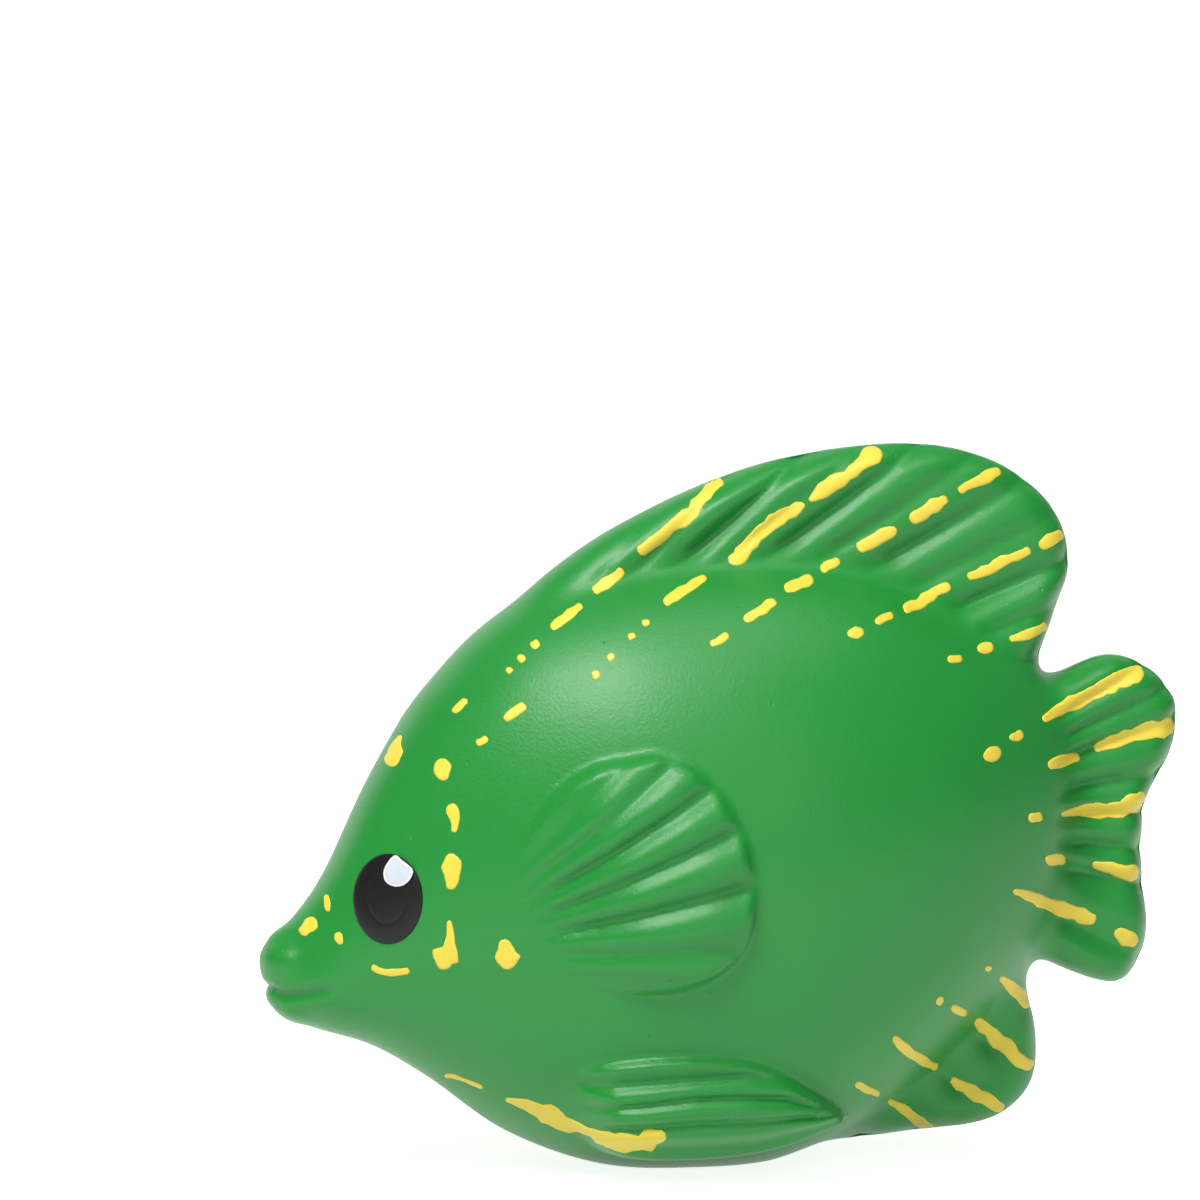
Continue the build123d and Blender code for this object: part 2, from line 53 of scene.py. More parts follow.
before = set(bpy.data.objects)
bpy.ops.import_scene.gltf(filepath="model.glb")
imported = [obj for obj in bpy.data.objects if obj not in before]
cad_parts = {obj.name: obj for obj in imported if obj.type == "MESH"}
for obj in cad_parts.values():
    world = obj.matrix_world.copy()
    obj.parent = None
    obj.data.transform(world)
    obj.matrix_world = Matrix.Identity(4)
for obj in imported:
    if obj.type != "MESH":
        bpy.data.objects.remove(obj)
CAD_LOW, CAD_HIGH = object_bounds()

# Tables and shape functions are in millimetres; meshes are in metres.
# The nose points to -X, the fish's left side to -Y, its back to +Z.
MM = 0.001
LENGTH = (CAD_HIGH[0] - CAD_LOW[0]) / MM
HEIGHT = (CAD_HIGH[2] - CAD_LOW[2]) / MM
BODY_HALF = 23.0

# Body cross-sections: distance from the nose, lowest, highest, half width, widest height,
# as shares of the length, height, height, half thickness and height
BODY_STATIONS = [
    (0.003, 0.262, 0.306, 0.050, 0.284),
    (0.012, 0.232, 0.330, 0.128, 0.280),
    (0.036, 0.210, 0.354, 0.226, 0.277),
    (0.070, 0.195, 0.417, 0.335, 0.285),
    (0.120, 0.174, 0.552, 0.461, 0.329),
    (0.180, 0.128, 0.674, 0.609, 0.367),
    (0.260, 0.054, 0.773, 0.778, 0.392),
    (0.360, 0.005, 0.822, 0.930, 0.411),
    (0.460, -0.004, 0.838, 1.000, 0.418),
    (0.560, 0.007, 0.840, 0.996, 0.424),
    (0.650, 0.060, 0.823, 0.913, 0.437),
    (0.730, 0.134, 0.778, 0.774, 0.456),
    (0.800, 0.221, 0.722, 0.574, 0.475),
    (0.845, 0.295, 0.681, 0.417, 0.485),
    (0.880, 0.325, 0.652, 0.235, 0.485),
    (0.910, 0.360, 0.614, 0.104, 0.485),
]
RING_STEPS = 6
RING_SIDES = 96

# Beads of the lips: middle and size, in millimetres
LIPS = (((-45.7, 0, 22.9), (8.8, 10.6, 6.4)), ((-45.0, 0, 18.6), (7.4, 9.4, 5.4)))

# Upright fins, from the fish's left. In shares of the length and height: the outline, its part
# inside the body, and the origin of the valleys, each with its angle and depth. In millimetres:
# the root line, how far past it the valleys start, their notch in the rim, and the front's X.
HUB = (0.550, 0.418)
RIM_SPARE = 1.8
RIM_ROUND = 2.6
RIM_STEPS = 7
DORSAL = {
    "outline": [
        (0.235, 0.742), (0.325, 0.842), (0.410, 0.906), (0.520, 0.965), (0.620, 0.993),
        (0.720, 0.999), (0.800, 0.972), (0.857, 0.914), (0.878, 0.838), (0.862, 0.766),
        (0.841, 0.690),
    ],
    "inner": [
        (0.800, 0.635), (0.700, 0.670), (0.550, 0.710), (0.400, 0.710), (0.300, 0.670), (0.240, 0.680),
    ],
    "root_share": 0.62, "root_thick": 12.4, "rim_thick": 4.6,
    "origin": (0.055, 0.396), "notch": 0.15, "start": 1.2, "front": -31.0,
    "valleys": [
        (47.5, 0.25), (44.3, 0.5), (40.9, 1.0), (38.2, 0.5), (35.5, 1.0), (32.5, 0.7), (29.1, 1.0),
        (26.1, 0.6), (22.8, 1.0), (20.2, 0.6), (17.0, 0.7),
    ],
    "root": [
        (-30.0, 55.5), (-24.0, 59.6), (-17.2, 63.0), (-8.5, 65.2), (0.2, 66.3),
        (8.9, 66.4), (16.6, 64.8), (23.1, 61.5), (26.9, 58.0), (30.8, 54.9), (36.5, 52.5),
    ],
}
TAIL = {
    "outline": [
        (0.830, 0.650), (0.884, 0.692), (0.922, 0.704), (0.961, 0.691), (0.991, 0.654),
        (1.000, 0.612), (0.988, 0.552), (0.966, 0.500), (0.961, 0.420), (0.967, 0.330),
        (0.960, 0.276), (0.933, 0.243), (0.884, 0.258), (0.830, 0.294),
    ],
    "inner": [(0.780, 0.370), (0.755, 0.480), (0.780, 0.600)],
    "root_share": 0.65, "root_thick": 11.0, "rim_thick": 5.0,
    "origin": (0.649, 0.484), "notch": 0.35, "start": 2.0, "front": 30.0,
    "valleys": [
        (33.0, 0.4), (27.0, 0.9), (21.8, 0.8), (16.2, 1.0), (7.3, 1.0), (0.0, 1.0), (-7.5, 1.0),
        (-14.5, 1.0), (-27.3, 0.8),
    ],
    "root": [(36.5, 52.5), (36.0, 47.0), (35.6, 40.0), (35.2, 32.0), (34.2, 25.0), (32.0, 22.8)],
}
ANAL = {
    "outline": [
        (0.780, 0.340), (0.826, 0.285), (0.833, 0.235), (0.843, 0.175), (0.841, 0.114),
        (0.819, 0.073), (0.780, 0.049), (0.700, 0.038), (0.610, 0.028),
    ],
    "inner": [(0.560, 0.080), (0.600, 0.170), (0.680, 0.280), (0.730, 0.340)],
    "root_share": 0.73, "root_thick": 10.0, "rim_thick": 5.0,
    "origin": (-0.200, 1.250), "notch": 0.2, "start": 3.5, "front": 9.0,
    "valleys": [(-40.5, 0.8), (-43.0, 0.8), (-45.5, 0.8), (-48.0, 0.8), (-50.5, 0.8)],
    "root": [(32.0, 22.8), (25.3, 16.2), (19.8, 10.8), (14.4, 6.9), (10.5, 2.0)],
}
FANS = {"dorsal_fin": DORSAL, "tail_fin": TAIL, "anal_fin": ANAL}

# Slanting lines that part the tail from the fins over and under it, and how deep a region's
# rim is drawn into the foam
OVER_TAIL = (34.0, 54.0)
OVER_TAIL_SLOPE = 0.5
UNDER_TAIL_SUM = 57.3
REGION_TUCK = 0.8

# Near a root line the skin is relaxed fully, and past the second distance not at all
JOIN_NEAR, JOIN_FAR = 2.0, 6.5
RELAX = 0.6

# Ridges of the upright fins: the widest, what they lose far from the root, how far they swell,
# the rim's width that is notched, and the half thickness from which valleys are fully deep
WIDEST_RAY = 7.0
RAY_FADE = 0.5
RAY_SWELL = 0.3
NOTCH_REACH = 2.4
FULL_HALF = 2.5

# Side fins, in millimetres of the side view: outline, valleys between the ridges, the hinge
# that the fin opens from and its way ahead, rise, share of it at the top, and valley depth
LEAF_EDGE, LEAF_CROWN, CROWN_REACH, WIDEST_RIDGE = 1.1, 0.28, 6.0, 5.0
PECTORAL = {
    "outline": [
        (-10.6, 46.6), (-6.8, 45.4), (-3.8, 42.5), (-1.6, 38.8), (-0.5, 35.0), (0.0, 31.0),
        (-0.6, 27.0), (-2.6, 24.2), (-5.4, 22.3), (-9.2, 21.2), (-15.1, 21.4), (-21.0, 24.4),
        (-24.4, 30.0), (-24.6, 36.0), (-21.6, 41.6), (-17.0, 45.2),
    ],
    "origin": (-33.0, 24.4),
    "valleys": [
        (47.5, 0.35), (41.0, 0.6), (33.0, 0.95), (24.5, 0.95), (14.5, 1.0), (4.0, 0.6), (-5.0, 0.3),
    ],
    "hinge": ((-25.5, 31.0), (0.90, 0.35)), "rise": 3.0, "top_share": 1.0, "depth": 2.2, "open": 13.0,
}
PELVIC = {
    "outline": [
        (-20.5, 8.0), (-17.5, 13.0), (-9.0, 14.6), (0.0, 13.9), (6.0, 10.9), (11.6, 6.4),
        (8.0, 4.4), (2.0, 2.6), (-6.0, 1.8), (-14.0, 2.6),
    ],
    "lines": [
        [(-17.4, 11.0), (-14.2, 11.2), (-6.4, 11.9), (-0.2, 12.2), (3.8, 11.6), (10.5, 7.5)],
        [(-16.5, 8.7), (-10.7, 9.3), (-6.4, 9.9), (-1.7, 10.0), (3.8, 9.7), (10.5, 7.4)],
        [(-14.5, 6.7), (-6.4, 7.3), (0.9, 7.5), (6.7, 7.6), (10.5, 7.2)],
        [(-14.0, 4.4), (-7.2, 4.5), (0.9, 4.7), (6.7, 6.0), (10.5, 7.0)],
    ],
    "hinge": ((-20.0, 8.0), (1.0, 0.0)), "rise": 7.5, "top_share": 0.35, "depth": 1.5, "open": 6.0,
}

# The crease between the lips, in millimetres of the side view, and the X where it fades out
MOUTH = [(-49.1, 20.1), (-48.1, 19.5), (-46.3, 19.8), (-43.0, 20.6)]
MOUTH_FADE = (-44.2, -42.0)
CREASE_DEPTH, CREASE_WIDTH = 0.6, 0.42
LIP_SWELL, LIP_OFFSET, LIP_WIDTH = 0.15, 1.5, 0.9

# Where the photograph was taken from, and the scale of its pixels at the fish
VIEW = {"azimuth": -8.0, "tilt": 4.0, "away": 600.0, "lens": 168.2, "aim": (-13.4, 0.0, 61.0)}
PIXELS = 1200
SENSOR = 36.0
OTHER_AZIMUTH = 8.0
PIXELS_PER_MM = 9.17
FOOT_PIXEL = (718, 1167)

# Soft square lamps: side in metres, watts and place in metres, all aimed at the fish's middle
LAMPS = (
    ("key", 0.38, 8.6, (-0.36, -0.44, 0.81)),
    ("overhead", 0.50, 1.6, (0.06, -0.14, 0.85)),
    ("front", 0.60, 1.4, (0.12, -0.90, 0.40)),
)
LAMP_AIM = Vector((0, 0, 0.04))
WORLD_LIGHT = 0.20
CARD_REACH = 3.0

# Eyes: middle and half sizes in pixels of the photograph, and outlines of the glints,
# which are pixels for the left one and millimetres from the eye's middle for the right
EYE_MIDDLE = (388, 899)
EYE_HALF = (35.0, 45.5)
OTHER_EYE_HALF = (3.45, 4.95)
LEFT_GLINT = [
    (397, 856), (406, 862), (415, 870), (412, 880), (404, 886), (394, 886), (387, 880), (387, 869),
]
RIGHT_GLINT = [
    (-0.9, 1.7), (0.9, 1.6), (1.35, 2.0), (1.4, 3.6), (1.0, 4.25), (-0.2, 4.4), (-0.95, 3.9), (-1.1, 2.2),
]
# Shares of the outline at which rings of mesh lie, and where a glint's white rim ends
EYE_RINGS = [1.0, 0.985, 0.96, 0.92, 0.86, 0.79, 0.72, 0.66, 0.61, 0.57, 0.54, 0.51, 0.47, 0.4, 0.3, 0.2, 0.1]
GLINT_RINGS = [1.0, 0.97, 0.93, 0.88, 0.84, 0.82, 0.7, 0.5, 0.3, 0.1]
GLINT_SPLIT = 0.85
# The groove round inside an eye: the share of the outline it lies at, its width and its depth
GROOVE_AT, GROOVE_WIDTH, GROOVE_DEPTH = 0.54, 0.03, 0.05
# An eye's middle against its relief and what its edge loses; in millimetres, how deep its film
# is set and how far a glint stands off it and bulges; the films' thickness, in metres
EYE_CROWN, EYE_DROP = 1.25, 0.35
EYE_SINK, GLINT_LIFT, GLINT_BULGE = 0.04, 0.02, 0.08
EYE_FILM, GLINT_FILM = 0.0003, 0.0001

# Brush marks, in pixels: length of a mesh step, roundness of the ends, wander of the edges and
# spare width; and how deep a film's edge lies under the skin, in millimetres
MARK_STEP, MARK_BLUNT, MARK_WANDER, MARK_SPARE = 2.4, 0.42, 0.28, 0.35
MARK_SINK = 0.02

# Hand-painted marks: x, y and width of each point in turn, in pixels. The right side's are as
# they look in a mirror, on the same scale, from the tail's side of square on.
LEFT_MARKS = {"dorsal": [
    (721, 478, 13, 705, 495, 13, 689, 515, 15, 672, 526, 12, 656, 541, 15, 638, 553, 10),
    (624, 570, 10, 609, 581, 11, 593, 592, 9), (582, 604, 7, 569, 615, 10, 551, 629, 8),
    (539, 641, 7, 531, 647, 8), (525, 656, 7, 518, 661, 8), (512, 668, 6, 507, 673, 7),
    (526, 705, 8, 513, 713, 10, 504, 720, 5),
    (882, 451, 13, 868, 458, 19, 853, 471, 12, 833, 484, 16, 819, 493, 13, 809, 501, 4),
    (805, 504, 5, 788, 513, 15, 766, 528, 14, 750, 544, 13, 739, 557, 15, 728, 561, 10),
    (707, 577, 7, 688, 588, 11, 664, 604, 9), (650, 621, 6, 642, 624, 7), (636, 635, 5, 628, 638, 7),
    (615, 655, 6, 607, 659, 7), (600, 673, 7, 592, 676, 8), (488, 738, 8, 476, 744, 7),
    (1001, 470, 9, 987, 477, 12, 958, 491, 8), (947, 497, 9, 931, 508, 15, 910, 521, 10),
    (897, 529, 10, 877, 538, 14, 857, 549, 10), (840, 560, 8, 830, 565, 11, 821, 571, 7),
    (813, 577, 9, 799, 584, 12, 784, 589, 7), (776, 600, 8, 761, 610, 11, 744, 621, 9),
    (729, 634, 7, 720, 640, 9, 710, 645, 6), (1063, 532, 12, 1051, 540, 13, 1039, 547, 9),
    (1031, 550, 9, 1007, 560, 11, 987, 570, 10, 967, 577, 7),
    (951, 586, 9, 933, 593, 12, 918, 604, 11, 903, 609, 10), (894, 615, 6, 884, 618, 9, 875, 623, 6),
    (864, 630, 7, 856, 633, 11, 847, 634, 7), (1048, 625, 9, 1029, 634, 10, 1009, 639, 6),
    (994, 647, 8, 985, 648, 11, 977, 649, 7), (963, 658, 6, 955, 659, 8, 947, 659, 6),
], "tail": [
    (1144, 671, 12, 1130, 676, 18, 1105, 687, 17, 1083, 698, 15, 1060, 709, 12, 1043, 721, 7),
    (1176, 725, 18, 1150, 731, 18, 1123, 738, 14, 1105, 745, 12, 1094, 750, 7),
    (1080, 757, 8, 1063, 761, 12, 1048, 767, 9), (1024, 734, 10, 1017, 736, 11, 1009, 738, 6),
    (1000, 748, 8, 992, 754, 14, 984, 759, 9),
    (1148, 796, 20, 1130, 806, 19, 1105, 810, 15, 1078, 812, 10, 1061, 815, 4),
    (1043, 817, 9, 1035, 818, 11, 1028, 818, 7), (1066, 860, 9, 1055, 860, 12, 1045, 859, 8),
    (1139, 875, 17, 1123, 871, 15, 1105, 867, 10, 1092, 864, 6),
    (1096, 921, 12, 1078, 914, 15, 1054, 907, 15, 1034, 897, 12, 1013, 891, 6),
    (1138, 943, 15, 1126, 937, 16, 1114, 932, 9),
], "anal": [
    (1030, 1007, 10, 1016, 991, 13, 1000, 977, 7), (990, 971, 5, 987, 966, 7),
    (1033, 1067, 13, 1016, 1057, 15, 999, 1040, 16, 985, 1028, 13, 975, 1021, 8),
    (967, 1015, 7, 959, 1011, 10, 951, 1007, 7), (942, 996, 4, 940, 1001, 7, 937, 1005, 4),
    (1004, 1110, 10, 988, 1101, 13, 966, 1088, 13, 950, 1079, 7),
    (938, 1068, 7, 925, 1062, 9, 909, 1051, 10, 893, 1037, 7),
    (933, 1130, 8, 918, 1121, 10, 905, 1110, 9, 888, 1101, 6), (880, 1095, 5, 866, 1089, 8, 855, 1084, 8),
], "head": [
    (401, 735, 3, 397, 744, 9, 393, 756, 17, 388, 766, 9), (442, 758, 12, 443, 769, 18, 444, 781, 10),
    (449, 804, 9, 453, 813, 11, 455, 823, 9, 454, 833, 5),
    (451, 853, 11, 451, 864, 19, 451, 877, 17, 452, 890, 8),
    (449, 920, 3, 451, 937, 9, 449, 948, 16, 444, 959, 25, 442, 970, 10),
    (503, 939, 7, 505, 949, 20, 507, 959, 25, 511, 969, 11),
    (372, 965, 5, 378, 970, 7, 389, 973, 7, 410, 971, 6), (326, 894, 3, 327, 904, 7, 329, 912, 3),
    (314, 917, 11, 309, 925, 16, 300, 934, 9), (337, 932, 6, 339, 938, 8, 341, 945, 4),
    (467, 699, 5, 460, 706, 8, 452, 712, 5),
], "belly": [
    (444, 1076, 3, 452, 1076, 5, 462, 1079, 3, 483, 1088, 3),
    (505, 1099, 5, 526, 1105, 11, 546, 1114, 19, 563, 1123, 17, 579, 1128, 9, 591, 1133, 8,
     603, 1138, 15, 620, 1142, 20, 636, 1144, 18, 653, 1139, 19, 666, 1134, 11),
]}
RIGHT_MARKS = {"dorsal": [
    (709, 491, 14, 687, 507, 17, 665, 524, 11), (670, 520, 14, 642, 540, 17, 615, 560, 11),
    (599, 574, 11, 585, 583, 13, 571, 591, 8), (553, 602, 11, 543, 608, 13, 533, 615, 8),
    (520, 626, 8, 516, 629, 11, 511, 632, 6), (505, 637, 8, 501, 640, 11, 496, 643, 6),
    (493, 649, 8, 488, 652, 11, 484, 655, 6), (444, 692, 11, 439, 699, 13, 433, 706, 8),
    (872, 461, 14, 832, 487, 18, 792, 514, 6), (792, 514, 14, 752, 540, 18, 713, 566, 11),
    (699, 580, 11, 680, 591, 13, 661, 603, 8), (652, 613, 8, 647, 617, 11, 643, 620, 6),
    (631, 632, 8, 626, 635, 11, 622, 638, 6), (613, 646, 8, 609, 649, 11, 604, 652, 6),
    (595, 663, 8, 591, 666, 11, 587, 669, 6), (483, 682, 11, 475, 691, 13, 466, 700, 8),
    (451, 723, 8, 447, 726, 11, 442, 729, 6), (991, 484, 11, 975, 491, 13, 958, 497, 8),
    (938, 507, 14, 913, 522, 17, 889, 536, 11), (871, 546, 14, 851, 560, 17, 831, 573, 11),
    (817, 586, 11, 808, 591, 13, 800, 596, 8), (778, 609, 11, 767, 617, 13, 756, 624, 8),
    (745, 634, 11, 735, 643, 13, 725, 653, 8), (710, 665, 11, 704, 671, 13, 698, 676, 8),
    (1057, 555, 11, 1039, 554, 13, 1022, 554, 8), (1021, 563, 11, 968, 584, 13, 916, 604, 8),
    (898, 613, 14, 880, 626, 17, 862, 639, 11), (851, 648, 11, 844, 654, 13, 836, 660, 8),
    (822, 668, 8, 817, 671, 11, 813, 674, 6), (1044, 638, 11, 1019, 649, 13, 994, 660, 8),
    (969, 668, 11, 960, 669, 13, 950, 670, 8), (931, 685, 8, 925, 689, 10, 919, 692, 6),
], "tail": [
    (1138, 691, 14, 1081, 713, 17, 1024, 736, 9), (1005, 745, 11, 1000, 748, 14, 996, 751, 8),
    (973, 758, 11, 969, 761, 14, 965, 764, 8), (1174, 742, 14, 1126, 758, 16, 1077, 773, 7),
    (1049, 780, 11, 1034, 786, 13, 1020, 792, 8), (1148, 816, 14, 1097, 830, 16, 1045, 844, 7),
    (1022, 850, 11, 1009, 852, 13, 996, 853, 8), (1132, 895, 14, 1104, 895, 14, 1077, 895, 9),
    (1057, 889, 11, 1044, 889, 13, 1032, 889, 8), (1074, 947, 14, 1028, 932, 19, 982, 917, 9),
    (1132, 961, 14, 1112, 958, 17, 1092, 955, 11),
], "anal": [
    (963, 983, 8, 961, 979, 11, 958, 974, 6), (977, 1002, 8, 974, 998, 11, 971, 993, 6),
    (1024, 1044, 14, 1004, 1026, 17, 985, 1008, 11), (1015, 1109, 14, 987, 1088, 19, 958, 1067, 11),
    (946, 1055, 11, 941, 1049, 14, 935, 1043, 8), (919, 1033, 8, 916, 1028, 11, 913, 1024, 6),
    (972, 1137, 14, 945, 1116, 17, 918, 1096, 11), (908, 1088, 11, 882, 1071, 13, 856, 1053, 8),
    (925, 1142, 11, 894, 1128, 13, 862, 1115, 8), (852, 1105, 11, 837, 1100, 13, 822, 1094, 8),
], "head": [
    (407, 712, 5, 402, 728, 14, 394, 748, 21), (419, 764, 13, 416, 776, 20, 412, 788, 11),
    (429, 823, 11, 431, 839, 13, 427, 853, 8), (429, 875, 14, 429, 892, 21, 428, 916, 13),
    (424, 940, 6, 419, 956, 14, 408, 973, 26, 400, 981, 14), (464, 954, 11, 472, 966, 23, 480, 981, 19),
    (382, 975, 8, 364, 973, 9, 347, 964, 6), (319, 872, 6, 318, 884, 8),
    (313, 896, 13, 303, 905, 19, 293, 916, 11), (323, 925, 8, 316, 921, 9, 311, 915, 6),
], "belly": [
    (447, 1074, 5, 464, 1082, 9, 480, 1090, 6),
    (496, 1097, 10, 530, 1112, 23, 558, 1124, 28, 593, 1140, 19, 621, 1152, 21, 643, 1164, 13),
]}


def along(share):
    """X of a point at that share of the length from the nose."""
    return (share - 0.5) * LENGTH


def up(share):
    """Z of a point at that share of the height."""
    return share * HEIGHT


def placed(shares):
    """Side-view points in millimetres, from shares of the length and height."""
    return [(along(x), up(z)) for x, z in shares]


def smooth_rows(rows, steps):
    """Rows of numbers, resampled on a smooth curve through them."""
    rows = np.array(rows, float)
    padded = np.vstack((2 * rows[0] - rows[1], rows, 2 * rows[-1] - rows[-2]))
    made = []
    for i in range(len(rows) - 1):
        a, b, c, d = padded[i : i + 4]
        for t in np.arange(steps) / steps:
            bend = (2 * a - 5 * b + 4 * c - d) * t * t + (3 * b - a - 3 * c + d) * t**3
            made.append(b + 0.5 * ((c - a) * t + bend))
    return np.array(made + [rows[-1]])


def smooth_step(low, high, value):
    """Nought below low, one above high, and a soft rise between them."""
    t = np.clip((value - low) / (high - low), 0, 1)
    return t * t * (3 - 2 * t)


def line_distance(points, line):
    """Distance of side-view points to a line of points, positive on its left."""
    best = np.full(len(points), 1e9)
    side = np.ones(len(points))
    for a, b in zip(line[:-1], line[1:]):
        a, b = np.array(a), np.array(b)
        run = b - a
        if not run.any():
            continue
        away = points - a
        share = np.clip(away @ run / (run @ run), 0, 1)
        gap = away - share[:, None] * run
        distance = np.hypot(gap[:, 0], gap[:, 1])
        turn = np.where(run[0] * away[:, 1] - run[1] * away[:, 0] >= 0, 1.0, -1.0)
        closer = distance < best - 1e-6
        side = np.where(closer, turn, side)
        best = np.where(closer, distance, best)
    return best * side


def inside_distance(points, outline):
    """Distance to a closed outline, positive inside it, whichever way it runs."""
    ring = [tuple(p) for p in outline] + [tuple(outline[0])]
    best = np.abs(line_distance(points, ring))
    odd = np.zeros(len(points), bool)
    for a, b in zip(ring[:-1], ring[1:]):
        if a[1] == b[1]:
            continue
        spans = (points[:, 1] < a[1]) != (points[:, 1] < b[1])
        cross = a[0] + (points[:, 1] - a[1]) * (b[0] - a[0]) / (b[1] - a[1])
        odd ^= spans & (points[:, 0] < cross)
    return np.where(odd, best, -best)


def numbers(rows, key, width=3, kind=float):
    """What all rows of a mesh hold under a key, as an array."""
    flat = np.empty(len(rows) * width, kind)
    rows.foreach_get(key, flat)
    return flat.reshape(-1, width)


def linked(name, data):
    """A new object of the scene with its data."""
    made = bpy.data.objects.new(name, data)
    bpy.context.scene.collection.objects.link(made)
    return made


def mesh_object(bm, name):
    """Turns a bmesh into a linked object."""
    mesh = bpy.data.meshes.new(name)
    bm.to_mesh(mesh)
    bm.free()
    return linked(name, mesh)


def drawn_out(bm, edges):
    """Extrudes a ring of edges: its new vertices, the edges of the new ring and the faces."""
    grown = bmesh.ops.extrude_edge_only(bm, edges=edges)["geom"]
    verts = [g for g in grown if isinstance(g, bmesh.types.BMVert)]
    fresh = set(verts)
    ring = [g for g in grown if isinstance(g, bmesh.types.BMEdge) and set(g.verts) <= fresh]
    return verts, ring, [g for g in grown if isinstance(g, bmesh.types.BMFace)]


# Base forms


def add_body(bm):
    """The plump body: oval rings drawn out one from the next along its length."""
    rows = smooth_rows(BODY_STATIONS, RING_STEPS)
    layer = bm.verts.layers.float_vector.new("way")
    ring = bmesh.ops.create_circle(bm, segments=RING_SIDES, radius=1.0)["verts"]
    for v in ring:
        v[layer] = v.co.copy()
    edges = list({e for v in ring for e in v.link_edges})
    for i, (x, low, high, width, widest) in enumerate(rows):
        if i:
            ring, edges, _ = drawn_out(bm, edges)
        for v in ring:
            reach = up(high - widest) if v[layer].y > 0 else up(widest - low)
            side = width * BODY_HALF * v[layer].x
            v.co = Vector((along(x), side, up(widest) + reach * v[layer].y)) * MM
        if i == 0 or i == len(rows) - 1:
            bmesh.ops.contextual_create(bm, geom=edges)


def blade_half(fan, points):
    """Half thickness of an upright fin at side-view points: it thins away from the hub."""
    hub = np.array(placed([HUB])[0])
    reach = max(math.hypot(x - hub[0], z - hub[1]) for x, z in placed(fan["outline"])) + RIM_SPARE
    root = fan["root_share"] * reach
    radius = np.hypot(*(points - hub).T)
    share = (radius - root) / (reach - root)
    return (fan["root_thick"] + share * (fan["rim_thick"] - fan["root_thick"])) / 2


def add_blade(bm, fan):
    """An upright fin: its outline drawn inwards ring by ring, to a rounded thick edge."""
    rim = smooth_rows(placed(fan["outline"] + fan["inner"] + fan["outline"][:1]), 8)[:-1]
    verts = [bm.verts.new((x * MM, 0, z * MM)) for x, z in rim]
    face = bm.faces.new(verts)
    start = set(bm.verts) - set(verts)
    last = 0.0
    for i in range(1, RIM_STEPS + 1):
        turn = math.pi / 2 * i / RIM_STEPS
        inset = RIM_ROUND * (1 - math.cos(turn))
        bmesh.ops.inset_region(
            bm, faces=[face], thickness=(inset - last) * MM, use_boundary=True, use_even_offset=True
        )
        last = inset
        for v in face.verts:
            half = blade_half(fan, np.array([(v.co.x / MM, v.co.z / MM)]))[0]
            v.co.y = -half * math.sin(turn) * MM
    made = [v for v in bm.verts if v not in start]
    faces = list({f for v in made for f in v.link_faces})
    copied = bmesh.ops.duplicate(bm, geom=made + list({e for f in faces for e in f.edges}) + faces)
    twins = [g for g in copied["geom"] if isinstance(g, bmesh.types.BMVert)]
    for v in twins:
        v.co.y = -v.co.y
    bmesh.ops.remove_doubles(bm, verts=made + twins, dist=1e-7)


def add_lips(bm):
    """The two rounded beads of the lips at the tip of the nose."""
    for centre, size in LIPS:
        place = Matrix.Translation(Vector(centre) * MM) @ Matrix.Diagonal((*(Vector(size) * MM / 2), 1))
        bmesh.ops.create_uvsphere(bm, u_segments=40, v_segments=24, radius=1.0, matrix=place)


class Skin:
    """The fused foam skin as arrays in millimetres, worked on by vertex moves."""

    def __init__(self):
        self.made = bpy.data.objects["foam_skin"]
        mesh = self.made.data
        self.co = numbers(mesh.vertices, "co") / MM
        self.pairs = numbers(mesh.edges, "vertices", 2, int)
        self.degree = np.bincount(self.pairs.ravel(), minlength=len(self.co))

    def spread(self, values):
        """Each vertex's mean of its neighbours' values."""
        a, b = self.pairs.T
        count = len(self.degree)
        columns = values.reshape(count, -1).T
        total = [np.bincount(a, c[b], count) + np.bincount(b, c[a], count) for c in columns]
        return (np.array(total) / self.degree).T.reshape(values.shape)

    def smooth(self, weight, rounds):
        """Relaxes the skin where the weight is above nought."""
        for _ in range(rounds):
            self.co += weight[:, None] * RELAX * (self.spread(self.co) - self.co)

    def normals(self):
        """Vertex normals of the skin as it now stands."""
        self.store()
        return numbers(self.made.data.vertex_normals, "vector")

    def store(self):
        """Writes the vertices back to the mesh."""
        self.made.data.vertices.foreach_set("co", (self.co * MM).ravel())
        self.made.data.update()

    def flat(self):
        """The vertices as seen from the side."""
        return self.co[:, [0, 2]]


def ray_lines(origin, valleys):
    """Straight valley lines that fan out from an origin, with their depths."""
    reach = 130.0
    return [
        ([origin, (origin[0] + reach * math.cos(turn), origin[1] + reach * math.sin(turn))], depth)
        for turn, depth in ((math.radians(angle), depth) for angle, depth in valleys)
    ]


def ridged(points, lines, widest, sharpness=2.4):
    """How deep the valleys between rounded ridges cut, as a share, at side-view points."""
    count = len(points)
    gaps = {1: np.full(count, 1e3), -1: np.full(count, 1e3)}
    depths = {1: np.zeros(count), -1: np.zeros(count)}
    for line, depth in lines:
        away = line_distance(points, line)
        for way in (1, -1):
            closer = (away * way > 0) & (away * way < gaps[way])
            gaps[way] = np.where(closer, away * way, gaps[way])
            depths[way] = np.where(closer, depth, depths[way])
    span = np.minimum(gaps[1] + gaps[-1], widest)
    return sum(depths[way] * np.clip(1 - gaps[way] / span, 0, 1) ** sharpness for way in (1, -1))


def leaf_outline(leaf):
    """The smooth closed outline of a side fin."""
    return smooth_rows(leaf["outline"] + leaf["outline"][:1], 4)


